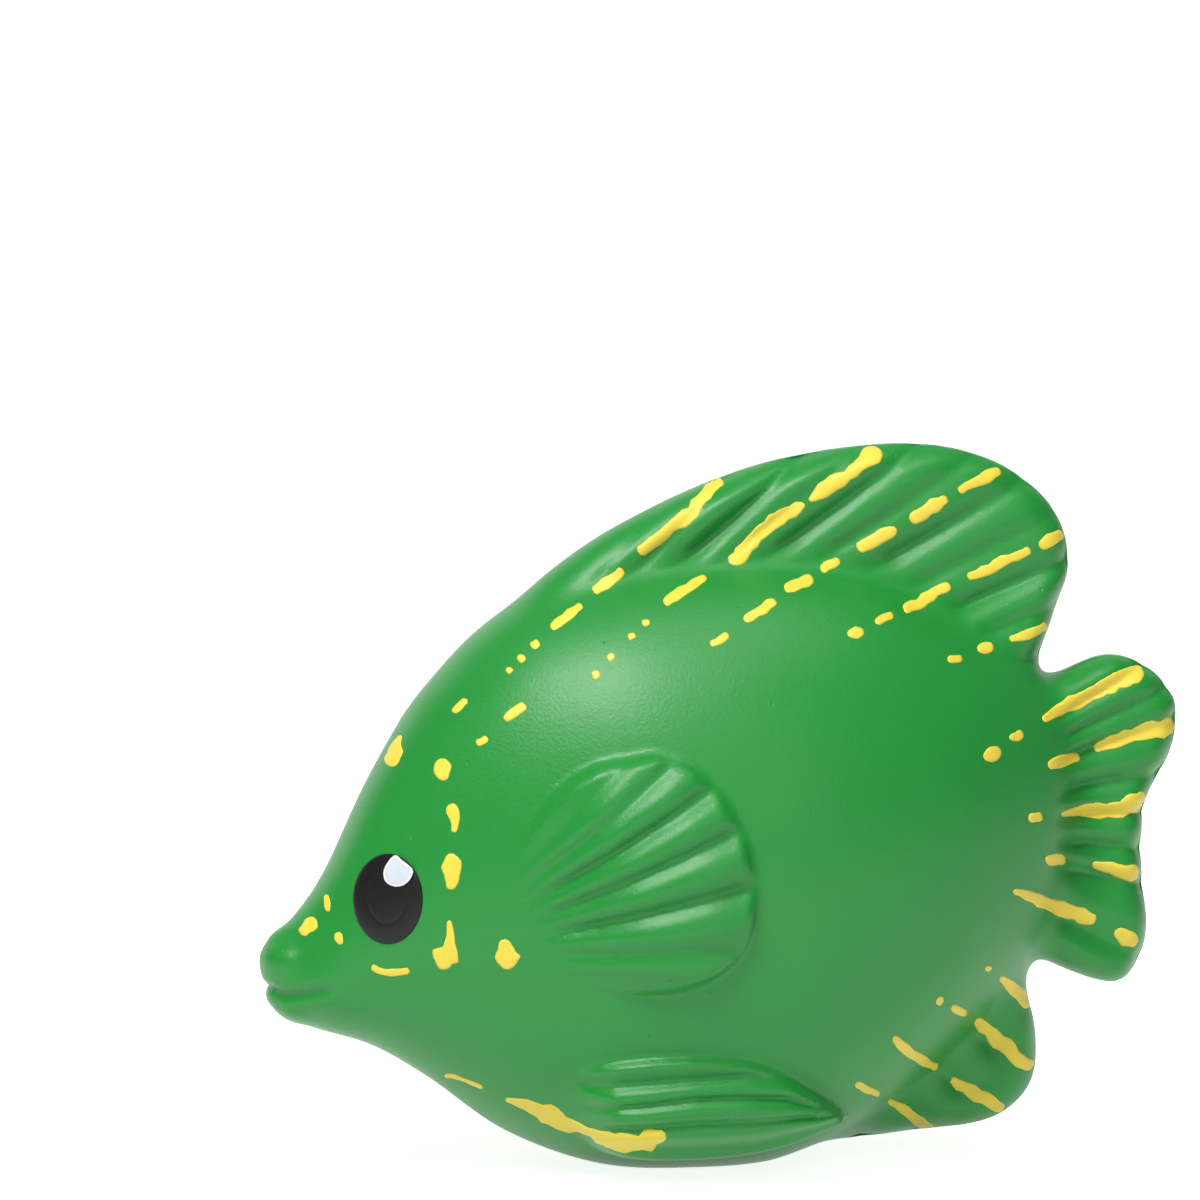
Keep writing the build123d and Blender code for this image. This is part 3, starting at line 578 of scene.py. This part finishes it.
def leaf_height(points, leaf):
    """How high a side fin stands off the flank, at side-view points."""
    outline = leaf_outline(leaf)
    inside = inside_distance(points, outline)
    start, way = leaf["hinge"]
    ahead = (points[:, 0] - start[0]) * way[0] + (points[:, 1] - start[1]) * way[1]
    opening = smooth_step(0.0, leaf["open"], ahead)
    edge = smooth_step(0.0, LEAF_EDGE, inside)
    crown = 1 - LEAF_CROWN + LEAF_CROWN * smooth_step(0.0, CROWN_REACH, inside)
    heights = outline[:, 1]
    lean = 1 + (leaf["top_share"] - 1) * smooth_step(heights.min(), heights.max(), points[:, 1])
    if "lines" in leaf:
        lines = [(line, 1.0) for line in leaf["lines"]]
    else:
        lines = ray_lines(leaf["origin"], leaf["valleys"])
    cut = leaf["depth"] * ridged(points, lines, WIDEST_RIDGE)
    cut *= smooth_step(0.1, 1.2, inside) * smooth_step(0.0, 0.6 * leaf["open"], ahead)
    return leaf["rise"] * opening * edge * crown * lean - cut


# Paint films


def view_axes(azimuth):
    """Unit vectors towards the camera, to its right and up its picture."""
    turn, tilt = math.radians(azimuth), math.radians(VIEW["tilt"])
    back = Vector((math.sin(turn) * math.cos(tilt), -math.cos(turn) * math.cos(tilt), math.sin(tilt)))
    right = Vector((math.cos(turn), math.sin(turn), 0))
    return back, right, back.cross(right)


def photo_ray(x, y):
    """Start and direction, in metres, of the ray through a pixel of the photograph."""
    back, right, rise = view_axes(VIEW["azimuth"])
    reach = SENSOR / PIXELS / VIEW["lens"]
    start = (Vector(VIEW["aim"]) + back * VIEW["away"]) * MM
    way = right * (x - PIXELS / 2) * reach + rise * (PIXELS / 2 - y) * reach - back
    return start, way.normalized()


def mirror_ray(x, y):
    """Start and direction of the ray through a pixel of the mirrored view of the right side."""
    back, right, rise = view_axes(OTHER_AZIMUTH)
    across = (x - FOOT_PIXEL[0]) / PIXELS_PER_MM * right.x
    height = (FOOT_PIXEL[1] - y) / PIXELS_PER_MM * rise.z
    start = (right * across + rise * height + back * VIEW["away"]) * MM
    return Vector((start.x, -start.y, start.z)), Vector((-back.x, back.y, -back.z))


def right_ray(x, z):
    """Start and direction of the ray square on to the right side, at millimetres."""
    return Vector((x * MM, VIEW["away"] * MM, z * MM)), Vector((0, -1, 0))


def lay(bm, verts, tree, ray, spots, heights):
    """Moves vertices to the skin under their spots, and drops faces that miss it."""
    missed = []
    ways = []
    for v in verts:
        spot, facing, _, _ = tree.ray_cast(*ray(*spots[v]))
        if spot is None:
            missed.append(v)
            continue
        v.co = spot + facing * heights[v] * MM
        ways.append((v, facing))
    if missed:
        bmesh.ops.delete(bm, geom=missed, context="VERTS")
    faces = list({f for v, _ in ways for f in v.link_faces})
    bmesh.ops.recalc_face_normals(bm, faces=faces)
    score = sum(f.normal.dot(facing) for v, facing in ways for f in v.link_faces)
    if score < 0:
        bmesh.ops.reverse_faces(bm, faces=faces)
    loose = [v for v, _ in ways if not v.link_faces]
    if loose:
        bmesh.ops.delete(bm, geom=loose, context="VERTS")


def ragged(count, rng):
    """A slow random wander between about -1 and 1, for the edge of a brush mark."""
    knots = rng.uniform(-1, 1, count // 3 + 3)
    return np.interp(np.arange(count) / 3, np.arange(len(knots)), knots)


def add_mark(bm, mark, tree, ray, rng, film):
    """One brush mark: a strip of grid along its points, with blunt ends and uneven edges."""
    rows = smooth_rows(np.reshape(mark, (-1, 3)), 8)
    steps = np.hypot(*np.diff(rows[:, :2], axis=0).T)
    gone = np.concatenate(([0], np.cumsum(steps)))
    count = max(6, int(gone[-1] / MARK_STEP))
    at = np.linspace(0, gone[-1], count + 1)
    x, y, width = (np.interp(at, gone, rows[:, i]) for i in range(3))
    turn = np.arctan2(np.gradient(y, at), np.gradient(x, at))
    end = np.minimum(at, gone[-1] - at) / (MARK_BLUNT * width + 0.01)
    blunt = np.sqrt(1 - (1 - np.clip(end, 0.06, 1)) ** 2)
    sides = [
        width / 2 * blunt * (1 + MARK_WANDER * ragged(count + 1, rng)) + MARK_SPARE for _ in range(2)
    ]
    made = bmesh.ops.create_grid(bm, x_segments=count, y_segments=8, size=1.0)["verts"]
    spots, heights = {}, {}
    for v in made:
        i = min(count, int(round((v.co.x + 1) / 2 * count)))
        across = v.co.y
        reach = (sides[0] if across > 0 else sides[1])[i] * across
        spots[v] = (x[i] - math.sin(turn[i]) * reach, y[i] + math.cos(turn[i]) * reach)
        crown = 1 - max(abs(across) ** 6, (1 - min(end[i], 1)) ** 6)
        heights[v] = film * crown - MARK_SINK
    lay(bm, made, tree, ray, spots, heights)


def add_film(bm, outline, middle, tree, ray, rings, heights_at, split=None):
    """A film inside a closed outline, drawn inwards ring by ring; split divides its materials."""
    number = bm.verts.layers.int.new("place")
    ring = bmesh.ops.create_circle(bm, segments=len(outline), radius=1.0)["verts"]
    for i, v in enumerate(ring):
        v[number] = i
    level = {v: rings[0] for v in ring}
    made = list(ring)
    edges = list({e for v in ring for e in v.link_edges})
    inner = []
    for share in rings[1:]:
        fresh, edges, faces = drawn_out(bm, edges)
        level.update(dict.fromkeys(fresh, share))
        made += fresh
        if split is not None and share < split:
            inner += faces
    cap = bmesh.ops.contextual_create(bm, geom=edges)["faces"]
    if split is not None:
        for f in inner + cap:
            f.material_index = 1
    spots = {v: tuple(middle + (outline[v[number]] - middle) * level[v]) for v in made}
    heights = {v: heights_at(level[v]) for v in made}
    lay(bm, made, tree, ray, spots, heights)
    bm.verts.layers.int.remove(number)


def closed_outline(points, steps):
    """A smooth closed outline through points, without its first point twice."""
    ring = points[-2:] + points + points[:2]
    rows = smooth_rows(ring, steps)
    return rows[2 * steps : (2 + len(points)) * steps]


def painted(bm, name, materials, film):
    """Makes a paint film a closed shell and a piece that stands for its node."""
    made = mesh_object(bm, "painted_" + name)
    for material in materials:
        made.data.materials.append(material)
    made.data.shade_smooth()
    shell = made.modifiers.new("film", "SOLIDIFY")
    shell.thickness = film
    shell.offset = -1.0
    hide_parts(name)
    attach(made, "root")


def skin_tree():
    """A search tree of the foam skin as it now stands."""
    bm = bmesh.new()
    bm.from_mesh(bpy.data.objects["foam_skin"].data)
    tree = BVHTree.FromBMesh(bm)
    bm.free()
    return tree


# Materials


def linear(code):
    """A colour from its sRGB hex code, turned to linear light."""
    parts = [int(code[i : i + 2], 16) / 255 for i in (1, 3, 5)]
    return [p / 12.92 if p <= 0.04045 else ((p + 0.055) / 1.055) ** 2.4 for p in parts] + [1.0]


def node(tree, kind, links=(), **settings):
    """Adds a node with its settings, and links outputs to its inputs."""
    made = tree.nodes.new(kind)
    for name, value in settings.items():
        if name.startswith("in_"):
            made.inputs[name[3:].replace("_", " ")].default_value = value
        else:
            setattr(made, name, value)
    for source, target in links:
        tree.links.new(source, made.inputs[target])
    return made


def new_material(name, **settings):
    """A material with an output and a shader, which takes the settings."""
    material = bpy.data.materials.new(name)
    material.use_nodes = True
    tree = material.node_tree
    tree.nodes.clear()
    shader = node(tree, "ShaderNodeBsdfPrincipled", **settings)
    node(tree, "ShaderNodeOutputMaterial", [(shader.outputs[0], 0)])
    return material, tree, shader


def two_tones(tree, shader, pattern, colour, deep):
    """A base colour that moves with a pattern between a deeper tone and its own."""
    tones = {"in_A": [c * k for c, k in zip(linear(colour), (*deep, 1.0))], "in_B": linear(colour)}
    tone = node(tree, "ShaderNodeMix", [(pattern.outputs["Fac"], "Factor")], data_type="RGBA", **tones)
    tree.links.new(tone.outputs["Result"], shader.inputs["Base Color"])


def integral_skin_foam(colour):
    """Moulded polyurethane foam with its own dense skin: soft, matte, with a satin bloom."""
    material, tree, shader = new_material("integral_skin_pu_foam", in_IOR=1.48, in_Specular_IOR_Level=0.46)
    spot = [(node(tree, "ShaderNodeTexCoord").outputs["Object"], "Vector")]
    # Pigment streams leave broad, faint changes of tone, 24 mm across.
    cloud = node(tree, "ShaderNodeTexNoise", spot, in_Scale=1 / (24.0 * MM))
    two_tones(tree, shader, cloud, colour, (0.9, 0.9, 0.9))
    # The skin copies the mould's blasted grain, 0.35 mm, so its highlight breaks into specks.
    grain = node(tree, "ShaderNodeTexNoise", spot, in_Scale=1 / (0.35 * MM), in_Detail=3.0)
    grains = grain.outputs["Fac"]
    rough = node(tree, "ShaderNodeMapRange", [(grains, "Value")], in_To_Min=0.34, in_To_Max=0.46)
    tree.links.new(rough.outputs[0], shader.inputs["Roughness"])
    # A few tiny pits, 3 mm apart, where gas bubbles touched the mould.
    cell = node(tree, "ShaderNodeTexVoronoi", spot, in_Scale=300.0, in_Randomness=1.0)
    pit = node(tree, "ShaderNodeMapRange", [(cell.outputs["Distance"], "Value")], in_From_Max=0.055)
    height = node(tree, "ShaderNodeMath", [(grains, 0)], operation="MULTIPLY")
    height.inputs[1].default_value = 0.35
    total = node(tree, "ShaderNodeMath", [(height.outputs[0], 0), (pit.outputs[0], 1)], operation="ADD")
    bump = node(tree, "ShaderNodeBump", [(total.outputs[0], "Height")], in_Strength=0.9, in_Distance=0.0001)
    tree.links.new(bump.outputs[0], shader.inputs["Normal"])
    return material


def uneven_film(tree, shader, colour, size, detail, deep, strength):
    """A dried film whose tone and surface vary together, this many millimetres across."""
    spot = [(node(tree, "ShaderNodeTexCoord").outputs["Object"], "Vector")]
    uneven = node(tree, "ShaderNodeTexNoise", spot, in_Scale=1 / (size * MM), in_Detail=detail)
    two_tones(tree, shader, uneven, colour, deep)
    high = [(uneven.outputs["Fac"], "Height")]
    bump = node(tree, "ShaderNodeBump", high, in_Strength=strength, in_Distance=0.0002)
    tree.links.new(bump.outputs[0], shader.inputs["Normal"])


def brushed_acrylic(colour):
    """Acrylic paint, brushed on by hand: a satin film, a little uneven in thickness."""
    material, tree, shader = new_material("brushed_acrylic_paint", in_Roughness=0.46)
    # The film is thinner and deeper in tone in places, 2.5 mm across.
    uneven_film(tree, shader, colour, 2.5, 3.0, (0.93, 0.90, 0.78), 0.3)
    return material


def satin_enamel(name, colour):
    """Pad-printed enamel: a smooth satin film, a little uneven in tone and surface."""
    material, tree, shader = new_material(name, in_Roughness=0.42, in_Specular_IOR_Level=0.28)
    # The film dries slightly uneven, 1.5 mm across, which softens its reflection.
    uneven_film(tree, shader, colour, 1.5, 2.0, (0.85, 0.85, 0.85), 0.15)
    return material


def white_card(name, glow):
    """A pale card: white to the camera and in reflections, and it still takes a shadow."""
    looks = {"in_Base_Color": linear("#E6E6E6"), "in_Emission_Color": linear("#FFFFFF")}
    material, tree, shader = new_material(name, in_Roughness=0.9, **looks)
    path = node(tree, "ShaderNodeLightPath")
    seen = path.outputs["Is Camera Ray"]
    for kind in ("Is Glossy Ray", "Is Transmission Ray"):
        either = [(seen, 0), (path.outputs[kind], 1)]
        seen = node(tree, "ShaderNodeMath", either, operation="MAXIMUM").outputs[0]
    lift = node(tree, "ShaderNodeMath", [(seen, 0)], operation="MULTIPLY")
    lift.inputs[1].default_value = glow
    tree.links.new(lift.outputs[0], shader.inputs["Emission Strength"])
    return material


# Settings


class FishSizes(bpy.types.PropertyGroup):
    """Sizes that a maker would change."""

    grain: FloatProperty(
        name="Mesh grain", description="Size of the moulded skin's mesh", default=0.00045, unit="LENGTH"
    )
    blend: FloatProperty(
        name="Blend", description="How far the fins flow into the body", default=0.0025, unit="LENGTH"
    )
    groove: FloatProperty(
        name="Fin groove", description="Depth of the grooves between fin rays", default=0.0020, unit="LENGTH"
    )
    film: FloatProperty(
        name="Mark film", description="Thickness of the painted marks", default=0.00010, unit="LENGTH"
    )
    eye_relief: FloatProperty(
        name="Eye relief", description="How far the eyes stand off the skin", default=0.0004, unit="LENGTH"
    )


class FishColours(bpy.types.PropertyGroup):
    """Colours of the foam and the paints, as hex codes."""

    foam: StringProperty(name="Foam", description="Green of the foam", default="#1C8B34")
    paint: StringProperty(name="Marks", description="Yellow of the marks", default="#EFD748")
    eye: StringProperty(name="Eyes", description="Black of the eyes", default="#141213")
    glint: StringProperty(name="Glints", description="Pale tone inside the glints", default="#D3DCE6")
    glint_rim: StringProperty(name="Glint rims", description="White round the glints", default="#F7F8F8")


# Operators


class FISH_OT_mould(bpy.types.Operator):
    """Fuses the body, lips and upright fins into one soft skin"""

    bl_idname = "fish.mould"
    bl_label = "Mould the foam"

    def execute(self, context):
        bm = bmesh.new()
        add_body(bm)
        add_lips(bm)
        for fan in FANS.values():
            add_blade(bm, fan)
        made = mesh_object(bm, "foam_skin")
        remesh = made.modifiers.new("fuse", "REMESH")
        remesh.mode = "VOXEL"
        remesh.voxel_size = context.scene.fish_sizes.grain
        fused = bpy.data.meshes.new_from_object(made.evaluated_get(context.evaluated_depsgraph_get()))
        made.modifiers.clear()
        made.data = fused
        return {"FINISHED"}


class FISH_OT_join(bpy.types.Operator):
    """Lets the upright fins flow softly out of the body"""

    bl_idname = "fish.join"
    bl_label = "Soften the joins"

    def execute(self, context):
        sizes = context.scene.fish_sizes
        skin = Skin()
        skin.smooth(np.ones(len(skin.co)), 3)
        flat = skin.flat()
        near = np.zeros(len(skin.co))
        for fan in FANS.values():
            gap = np.abs(line_distance(flat, fan["root"]))
            near = np.maximum(near, 1 - smooth_step(JOIN_NEAR, JOIN_FAR, gap))
        skin.smooth(near, int(2 * (sizes.blend / sizes.grain) ** 2))
        skin.store()
        return {"FINISHED"}


class FISH_OT_rays(bpy.types.Operator):
    """Sinks the grooves between the rays of the upright fins, and notches their rims"""

    bl_idname = "fish.rays"
    bl_label = "Groove the fins"

    def execute(self, context):
        depth = context.scene.fish_sizes.groove / MM
        skin = Skin()
        for fan in FANS.values():
            flat = skin.flat()
            side = np.sign(skin.co[:, 1])
            beyond = line_distance(flat, fan["root"])
            rim = np.abs(line_distance(flat, smooth_rows(placed(fan["outline"]), 6)))
            origin = placed([fan["origin"]])[0]
            # The valleys start at the root line, and only inside the fin's own blade.
            blade = inside_distance(flat, placed(fan["outline"] + fan["inner"]))
            start = smooth_step(-1.6, fan["start"], beyond) * smooth_step(-2.5, -0.5, blade)
            cut = ridged(flat, ray_lines(origin, fan["valleys"]), WIDEST_RAY) * start
            # They leave the rim's round edge whole, and get shallower away from the body.
            face = smooth_step(0.15, 0.6, np.abs(skin.co[:, 1]) / FULL_HALF)
            fade = 1 - RAY_FADE * smooth_step(3.0, 18.0, beyond)
            swell = RAY_SWELL * start * smooth_step(0.0, 3.0, rim)
            skin.co[:, 1] -= side * (cut - swell) * fade * face * depth
            away = flat - np.array(origin)
            away /= np.hypot(*away.T)[:, None]
            notch = fan["notch"] * cut * (1 - smooth_step(0.0, NOTCH_REACH, rim))
            skin.co[:, [0, 2]] -= away * notch[:, None]
        skin.store()
        return {"FINISHED"}


class FISH_OT_leaves(bpy.types.Operator):
    """Raises the ridged side fins off the flanks"""

    bl_idname = "fish.leaves"
    bl_label = "Raise the side fins"

    def execute(self, context):
        skin = Skin()
        ways = skin.normals()
        for leaf in (PECTORAL, PELVIC):
            lift = leaf_height(skin.flat(), leaf)
            facing = smooth_step(0.1, 0.4, np.abs(ways[:, 1]))
            skin.co[:, 1] += np.sign(skin.co[:, 1]) * lift * facing
        skin.store()
        return {"FINISHED"}


class FISH_OT_mouth(bpy.types.Operator):
    """Presses in the crease between the lips and flattens the sole"""

    bl_idname = "fish.mouth"
    bl_label = "Shape the mouth and sole"

    def execute(self, context):
        skin = Skin()
        ways = skin.normals()
        x, z = skin.flat().T
        gap = z - np.interp(x, *zip(*MOUTH))
        fade = 1 - smooth_step(*MOUTH_FADE, x)
        press = CREASE_DEPTH * np.exp(-((gap / CREASE_WIDTH) ** 2)) * fade
        bead = sum(np.exp(-(((gap + way) / LIP_WIDTH) ** 2)) for way in (-LIP_OFFSET, LIP_OFFSET))
        lips = LIP_SWELL * bead * fade
        skin.co += ways * (lips - press)[:, None]
        skin.smooth(np.ones(len(skin.co)), 1)
        skin.co[:, 2] = np.maximum(skin.co[:, 2], 0.0)
        skin.store()
        return {"FINISHED"}


class FISH_OT_marks(bpy.types.Operator):
    """Paints the yellow marks along the rays, head and belly"""

    bl_idname = "fish.marks"
    bl_label = "Paint the marks"

    def execute(self, context):
        film = context.scene.fish_sizes.film
        tree = skin_tree()
        material = brushed_acrylic(context.scene.fish_colours.paint)
        rng = np.random.default_rng(7)
        for side, groups, ray in (("left", LEFT_MARKS, photo_ray), ("right", RIGHT_MARKS, mirror_ray)):
            for group, marks in groups.items():
                bm = bmesh.new()
                for mark in marks:
                    add_mark(bm, mark, tree, ray, rng, film / MM)
                painted(bm, group + "_marks_" + side, [material], film)
        return {"FINISHED"}


class FISH_OT_eyes(bpy.types.Operator):
    """Paints the black eyes and their pale glints"""

    bl_idname = "fish.eyes"
    bl_label = "Paint the eyes"

    def execute(self, context):
        relief = context.scene.fish_sizes.eye_relief / MM
        colours = context.scene.fish_colours
        tree = skin_tree()
        black = satin_enamel("black_enamel", colours.eye)
        glints = [satin_enamel("white_enamel", colours.glint_rim), satin_enamel("pale_enamel", colours.glint)]

        def eye_height(share):
            groove = GROOVE_DEPTH * math.exp(-(((share - GROOVE_AT) / GROOVE_WIDTH) ** 2))
            dome = EYE_CROWN - EYE_DROP * share**2
            return relief * math.sqrt(max(0.0, 1 - share**10)) * dome - groove - EYE_SINK

        def glint_height(share):
            return relief * EYE_CROWN + GLINT_BULGE * (1 - share**6) + GLINT_LIFT

        spot = tree.ray_cast(*photo_ray(*EYE_MIDDLE))[0] / MM
        other_middle = (spot.x, spot.z)
        turns = np.linspace(0, 2 * math.pi, 72, endpoint=False)
        for side, ray, middle, half, glint in (
            ("left", photo_ray, EYE_MIDDLE, EYE_HALF, LEFT_GLINT),
            ("right", right_ray, other_middle, OTHER_EYE_HALF, RIGHT_GLINT),
        ):
            middle = np.array(middle)
            outline = middle + np.stack((np.cos(turns) * half[0], np.sin(turns) * half[1]), axis=1)
            bm = bmesh.new()
            add_film(bm, outline, middle, tree, ray, EYE_RINGS, eye_height)
            painted(bm, "eye_" + side, [black], EYE_FILM)
            shape = closed_outline(glint, 6)
            if side == "right":
                shape = shape + middle
            bm = bmesh.new()
            add_film(bm, shape, shape.mean(axis=0), tree, ray, GLINT_RINGS, glint_height, GLINT_SPLIT)
            painted(bm, "eye_glint_" + side, glints, GLINT_FILM)
        return {"FINISHED"}


class FISH_OT_part(bpy.types.Operator):
    """Parts the moulded skin into its named regions, each a closed piece"""

    bl_idname = "fish.part"
    bl_label = "Part the regions"

    def execute(self, context):
        skin = Skin()
        whole = skin.made
        ways = skin.normals()
        x, y, z = numbers(whole.data.polygons, "center").T / MM
        flat = np.stack((x, z), axis=1)
        over = z > OVER_TAIL[1] + OVER_TAIL_SLOPE * (x - OVER_TAIL[0])
        under = x + z < UNDER_TAIL_SUM
        where = {"dorsal_fin": over, "tail_fin": ~over & ~under, "anal_fin": under}
        regions = {
            name: (line_distance(flat, fan["root"]) > 0) & where[name] & (x > fan["front"])
            for name, fan in FANS.items()
        }
        for name, leaf in (("pectoral_fin", PECTORAL), ("pelvic_fin", PELVIC)):
            inside = inside_distance(flat, leaf_outline(leaf)) > 0
            regions[name + "_left"] = inside & (y < 0)
            regions[name + "_right"] = inside & (y > 0)
        taken = np.zeros(len(x), bool)
        for name in regions:
            regions[name] &= ~taken
            taken |= regions[name]
        regions["foam_body"] = ~taken
        foam = integral_skin_foam(context.scene.fish_colours.foam)
        for name, keep in regions.items():
            bm = bmesh.new()
            bm.from_mesh(whole.data)
            kept = bm.verts.layers.float_vector.new("way")
            for v, way in zip(bm.verts, ways):
                v[kept] = way
            bmesh.ops.delete(bm, geom=[f for f, k in zip(bm.faces, keep) if not k], context="FACES")
            # The rim is drawn a little way into the foam before the region is closed.
            for v in drawn_out(bm, [e for e in bm.edges if e.is_boundary])[0]:
                v.co -= v[kept] * REGION_TUCK * MM
            bmesh.ops.holes_fill(bm, edges=[e for e in bm.edges if e.is_boundary], sides=0)
            bmesh.ops.recalc_face_normals(bm, faces=bm.faces)
            made = mesh_object(bm, name + "_foam")
            mesh = made.data
            mesh.shade_smooth()
            stored = mesh.attributes["way"]
            mesh.normals_split_custom_set_from_vertices(numbers(stored.data, "vector").tolist())
            mesh.attributes.remove(mesh.attributes["way"])
            mesh.materials.append(foam)
            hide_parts(name)
            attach(made, "root")
        bpy.data.objects.remove(whole)
        return {"FINISHED"}


class FISH_OT_stage(bpy.types.Operator):
    """Sets up the camera, the lamps and the plain pale floor"""

    bl_idname = "fish.stage"
    bl_label = "Set the stage"

    def execute(self, context):
        scene = context.scene
        back = view_axes(VIEW["azimuth"])[0]
        data = bpy.data.cameras.new("camera")
        data.lens = VIEW["lens"]
        data.sensor_width = SENSOR
        camera = linked("camera", data)
        camera.location = (Vector(VIEW["aim"]) + back * VIEW["away"]) * MM
        camera.rotation_euler = back.to_track_quat("Z", "Y").to_euler()
        scene.camera = camera
        scene.view_settings.view_transform = "Standard"
        for name, place, lean, finish in (
            ("floor", (0, 0, 0), 0.0, white_card("floor_card", 0.85)),
            ("backdrop", (0, 2.9, 0), math.pi / 2, white_card("backdrop_card", 1.2)),
        ):
            bm = bmesh.new()
            where = Matrix.Translation(place) @ Matrix.Rotation(lean, 4, "X")
            bmesh.ops.create_grid(bm, x_segments=1, y_segments=1, size=CARD_REACH, matrix=where)
            made = mesh_object(bm, name)
            made.data.materials.append(finish)
        world = bpy.data.worlds.new("studio")
        scene.world = world
        world.use_nodes = True
        light = world.node_tree.nodes["Background"]
        light.inputs["Color"].default_value = linear("#FFFFFF")
        light.inputs["Strength"].default_value = WORLD_LIGHT
        for name, size, power, place in LAMPS:
            lamp = bpy.data.lights.new(name, "AREA")
            lamp.energy = power
            lamp.size = size
            made = linked(name, lamp)
            made.location = place
            made.rotation_euler = (made.location - LAMP_AIM).to_track_quat("Z", "Y").to_euler()
        return {"FINISHED"}


class FISH_PT_panel(bpy.types.Panel):
    """Lists the steps that make the fish"""

    bl_idname = "FISH_PT_panel"
    bl_label = "Foam squeeze fish"
    bl_space_type = "VIEW_3D"
    bl_region_type = "UI"
    bl_category = "Fish"

    def draw(self, context):
        for step in STEPS:
            self.layout.operator(step.bl_idname)


STEPS = (
    FISH_OT_mould, FISH_OT_join, FISH_OT_rays, FISH_OT_leaves, FISH_OT_mouth, FISH_OT_marks,
    FISH_OT_eyes, FISH_OT_part, FISH_OT_stage,
)
CLASSES = (FishSizes, FishColours, *STEPS, FISH_PT_panel)


def register():
    for cls in CLASSES:
        bpy.utils.register_class(cls)
    bpy.types.Scene.fish_sizes = PointerProperty(type=FishSizes)
    bpy.types.Scene.fish_colours = PointerProperty(type=FishColours)


def unregister():
    del bpy.types.Scene.fish_colours
    del bpy.types.Scene.fish_sizes
    for cls in reversed(CLASSES):
        bpy.utils.unregister_class(cls)


def main():
    register()
    bpy.ops.fish.mould()
    bpy.ops.fish.join()
    bpy.ops.fish.rays()
    bpy.ops.fish.leaves()
    bpy.ops.fish.mouth()
    bpy.ops.fish.marks()
    bpy.ops.fish.eyes()
    bpy.ops.fish.part()
    bpy.ops.fish.stage()


if __name__ == "__main__":
    main()
